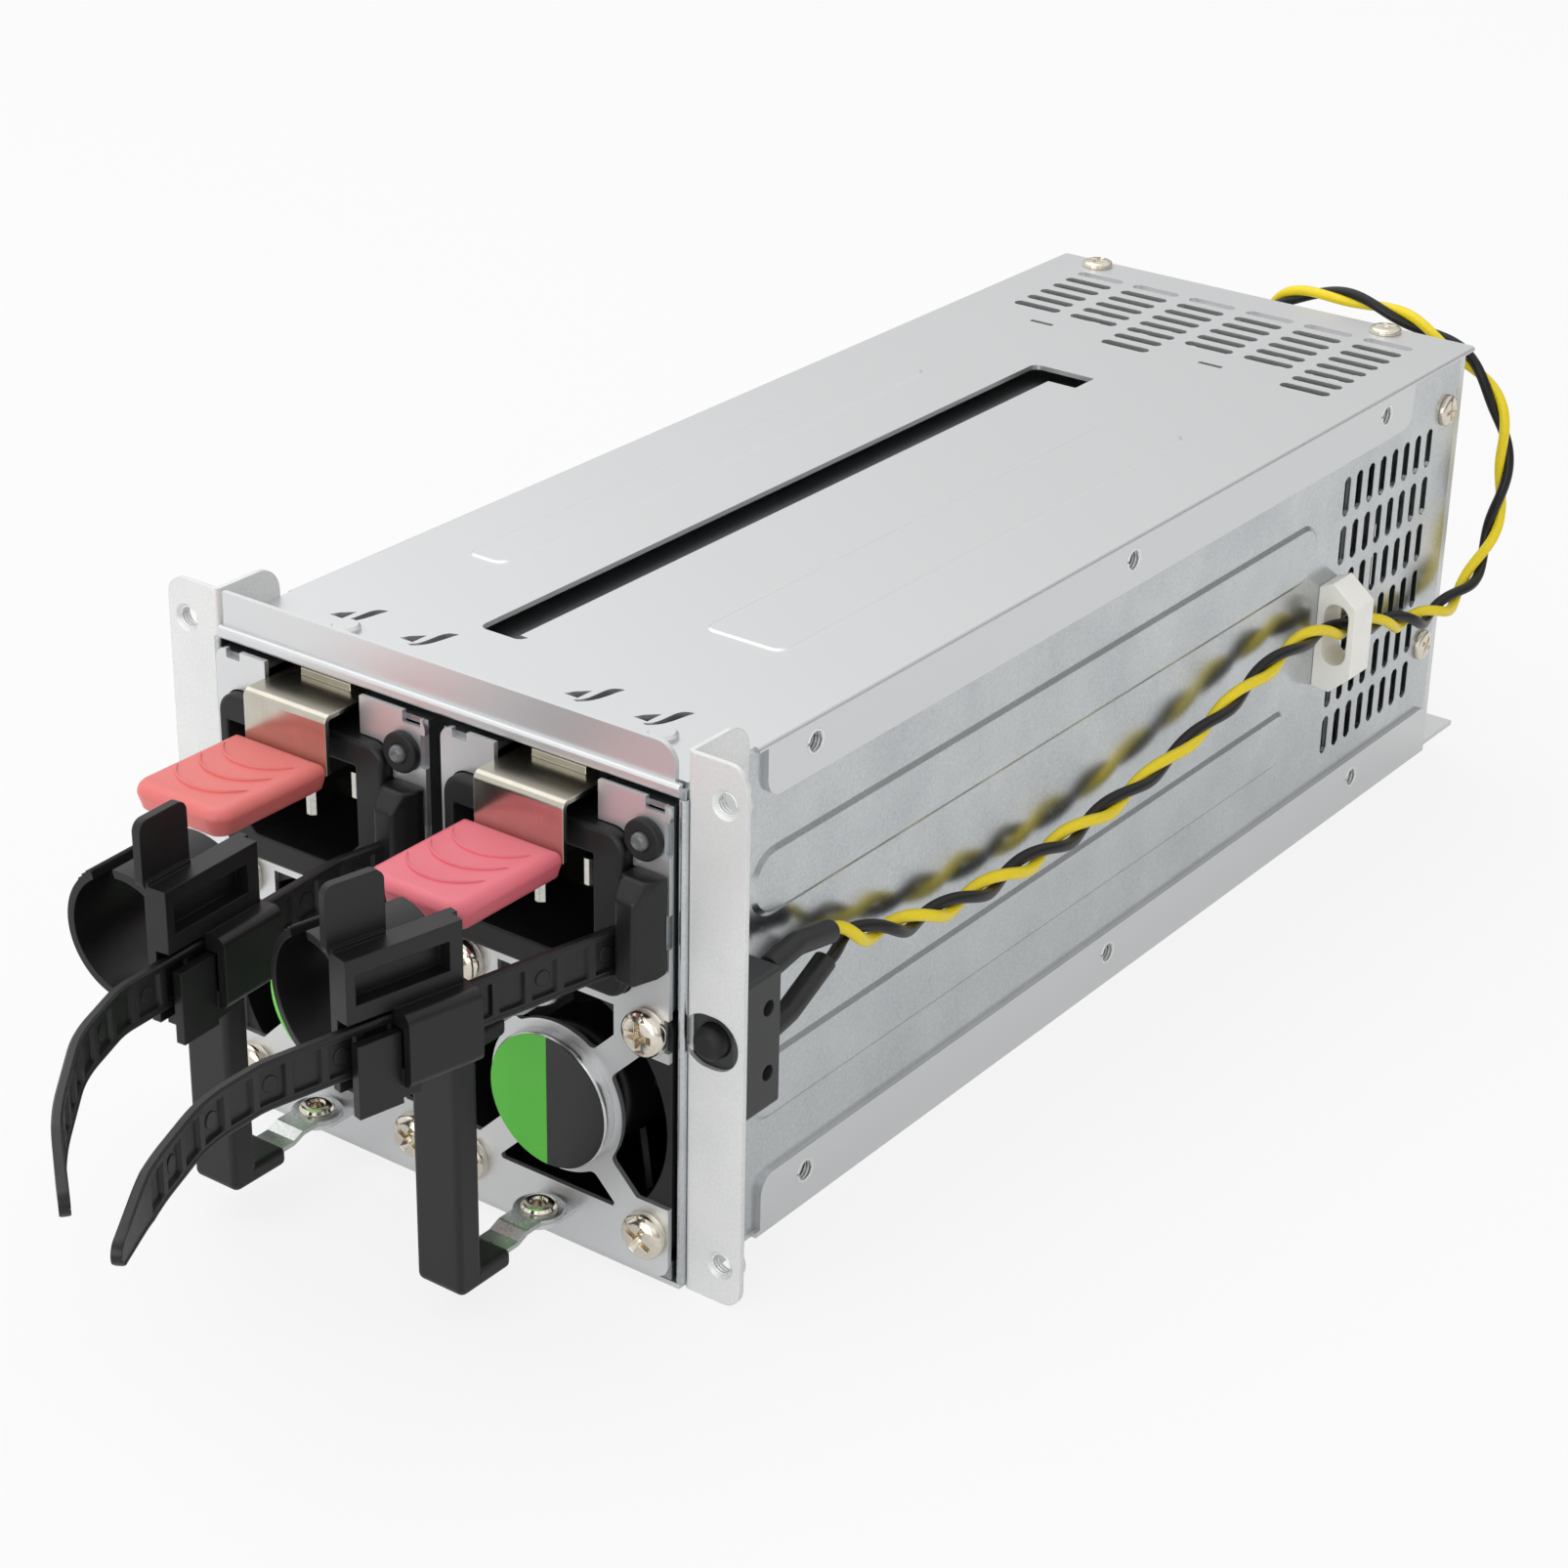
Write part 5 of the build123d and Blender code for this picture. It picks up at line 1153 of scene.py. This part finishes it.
    def guard(self) -> None:
        """Rounds the corners of the finger guard's cut-outs in the module's front plate."""
        node = self.name("front_plate")
        mesh = frame["nodes"][node].data.copy()
        work = opened(mesh)
        hub = Vector((self.middle, self.fan_z))
        inner, outer = [], []
        for edge in work.edges:
            way = (edge.verts[1].co - edge.verts[0].co) / MM
            place = (edge.verts[0].co + edge.verts[1].co) / 2 / MM
            away = (Vector((place.x, place.z)) - hub).length
            upright = abs(way.y) > 0.99 * way.length and abs(way.length - self.sheet) < 0.05
            if not upright or len(edge.link_faces) != 2 or edge.calc_face_angle() < SHARP:
                continue
            if away < self.guard_ring[0]:
                inner.append(edge)
            elif away < self.guard_ring[1] and edge.calc_face_angle() > math.radians(self.guard_bend):
                outer.append(edge)
        LOG.info("%s: %d inner and %d outer corners rounded", node, len(inner), len(outer))
        for corners, width in ((inner, self.guard_corner), (outer, self.guard_tip)):
            if corners:
                bmesh.ops.bevel(work, geom=corners, offset=width * MM, segments=6, affect="EDGES",
                                clamp_overlap=True, profile=0.5)
        work.to_mesh(mesh)
        work.free()
        finished(mesh, self.name("finger_guard_plate"), self.name("module"), [Surface.GALVANISED], 30.0,
                 (node,))

    def build(self) -> None:
        """Makes the module's pieces and dresses the others."""
        for node, surface in (("shell_tray", Surface.SHELL_SHEET_SHADED), ("shell_cover", Surface.SHELL_SHEET_SHADED),
                              ("module_board", Surface.LAMINATE), ("capacitors", Surface.CAN),
                              ("transformer", Surface.TAPE), ("inlet_pins", Surface.TIN),
                              ("fan_frame", Surface.ABS_BLACK), ("fan_rotor", Surface.ABS_BLACK),
                              ("hub_badge", Surface.BOSS)):
            dress(self.name(node), surface)
        self.guard()
        softened(self.name("handle_straps"), Surface.ZINC, 0.12)
        self.rivets()
        for node, surface, width, segments in (
                ("inlet_body", Surface.ABS_BLACK, 0.4, 2), ("led_holder", Surface.RUBBER, 0.2, 2),
                ("led_lens", Surface.LENS, 0.2, 2), ("handle_grip", Surface.GRIP, 0.9, 4)):
            softened(self.name(node), surface, width, segments)
        self.strap.build()
        self.badge()
        self.screws()
        softened(self.name("latch_spring"), Surface.SPRING, 0.12)
        self.pad()
        self.ridges()


def main() -> None:
    """Builds the studio and every sub-assembly in order."""
    logging.basicConfig(level=logging.INFO, format="%(message)s")
    Studio().build()
    AlarmLead().build()
    Cage().build()
    left_line = ((16.6, -4.6), (14.6, -15.0), (17.2, -57.6), (21.6, -68.6), (33.6, -83.4), (45.6, -93.3))
    right_line = ((14.6, -4.4), (2.1, -59.8), (2.4, -70.0), (8.1, -84.5), (15.5, -96.68))
    left_strap = CordStrap("left", -MODULE_X, left_line, (7.0, 12.0, 26.0, 60.0), 1, -40.5)
    right_strap = CordStrap("right", MODULE_X, right_line, (11.0, 26.0, 60.0), 0, -39.6)
    SupplyModule("left", -MODULE_X, Surface.CORAL_LEFT, Surface.GREEN_LEFT, left_strap).build()
    SupplyModule("right", MODULE_X, Surface.CORAL_RIGHT, Surface.GREEN_RIGHT, right_strap).build()


if __name__ == "__main__":
    main()
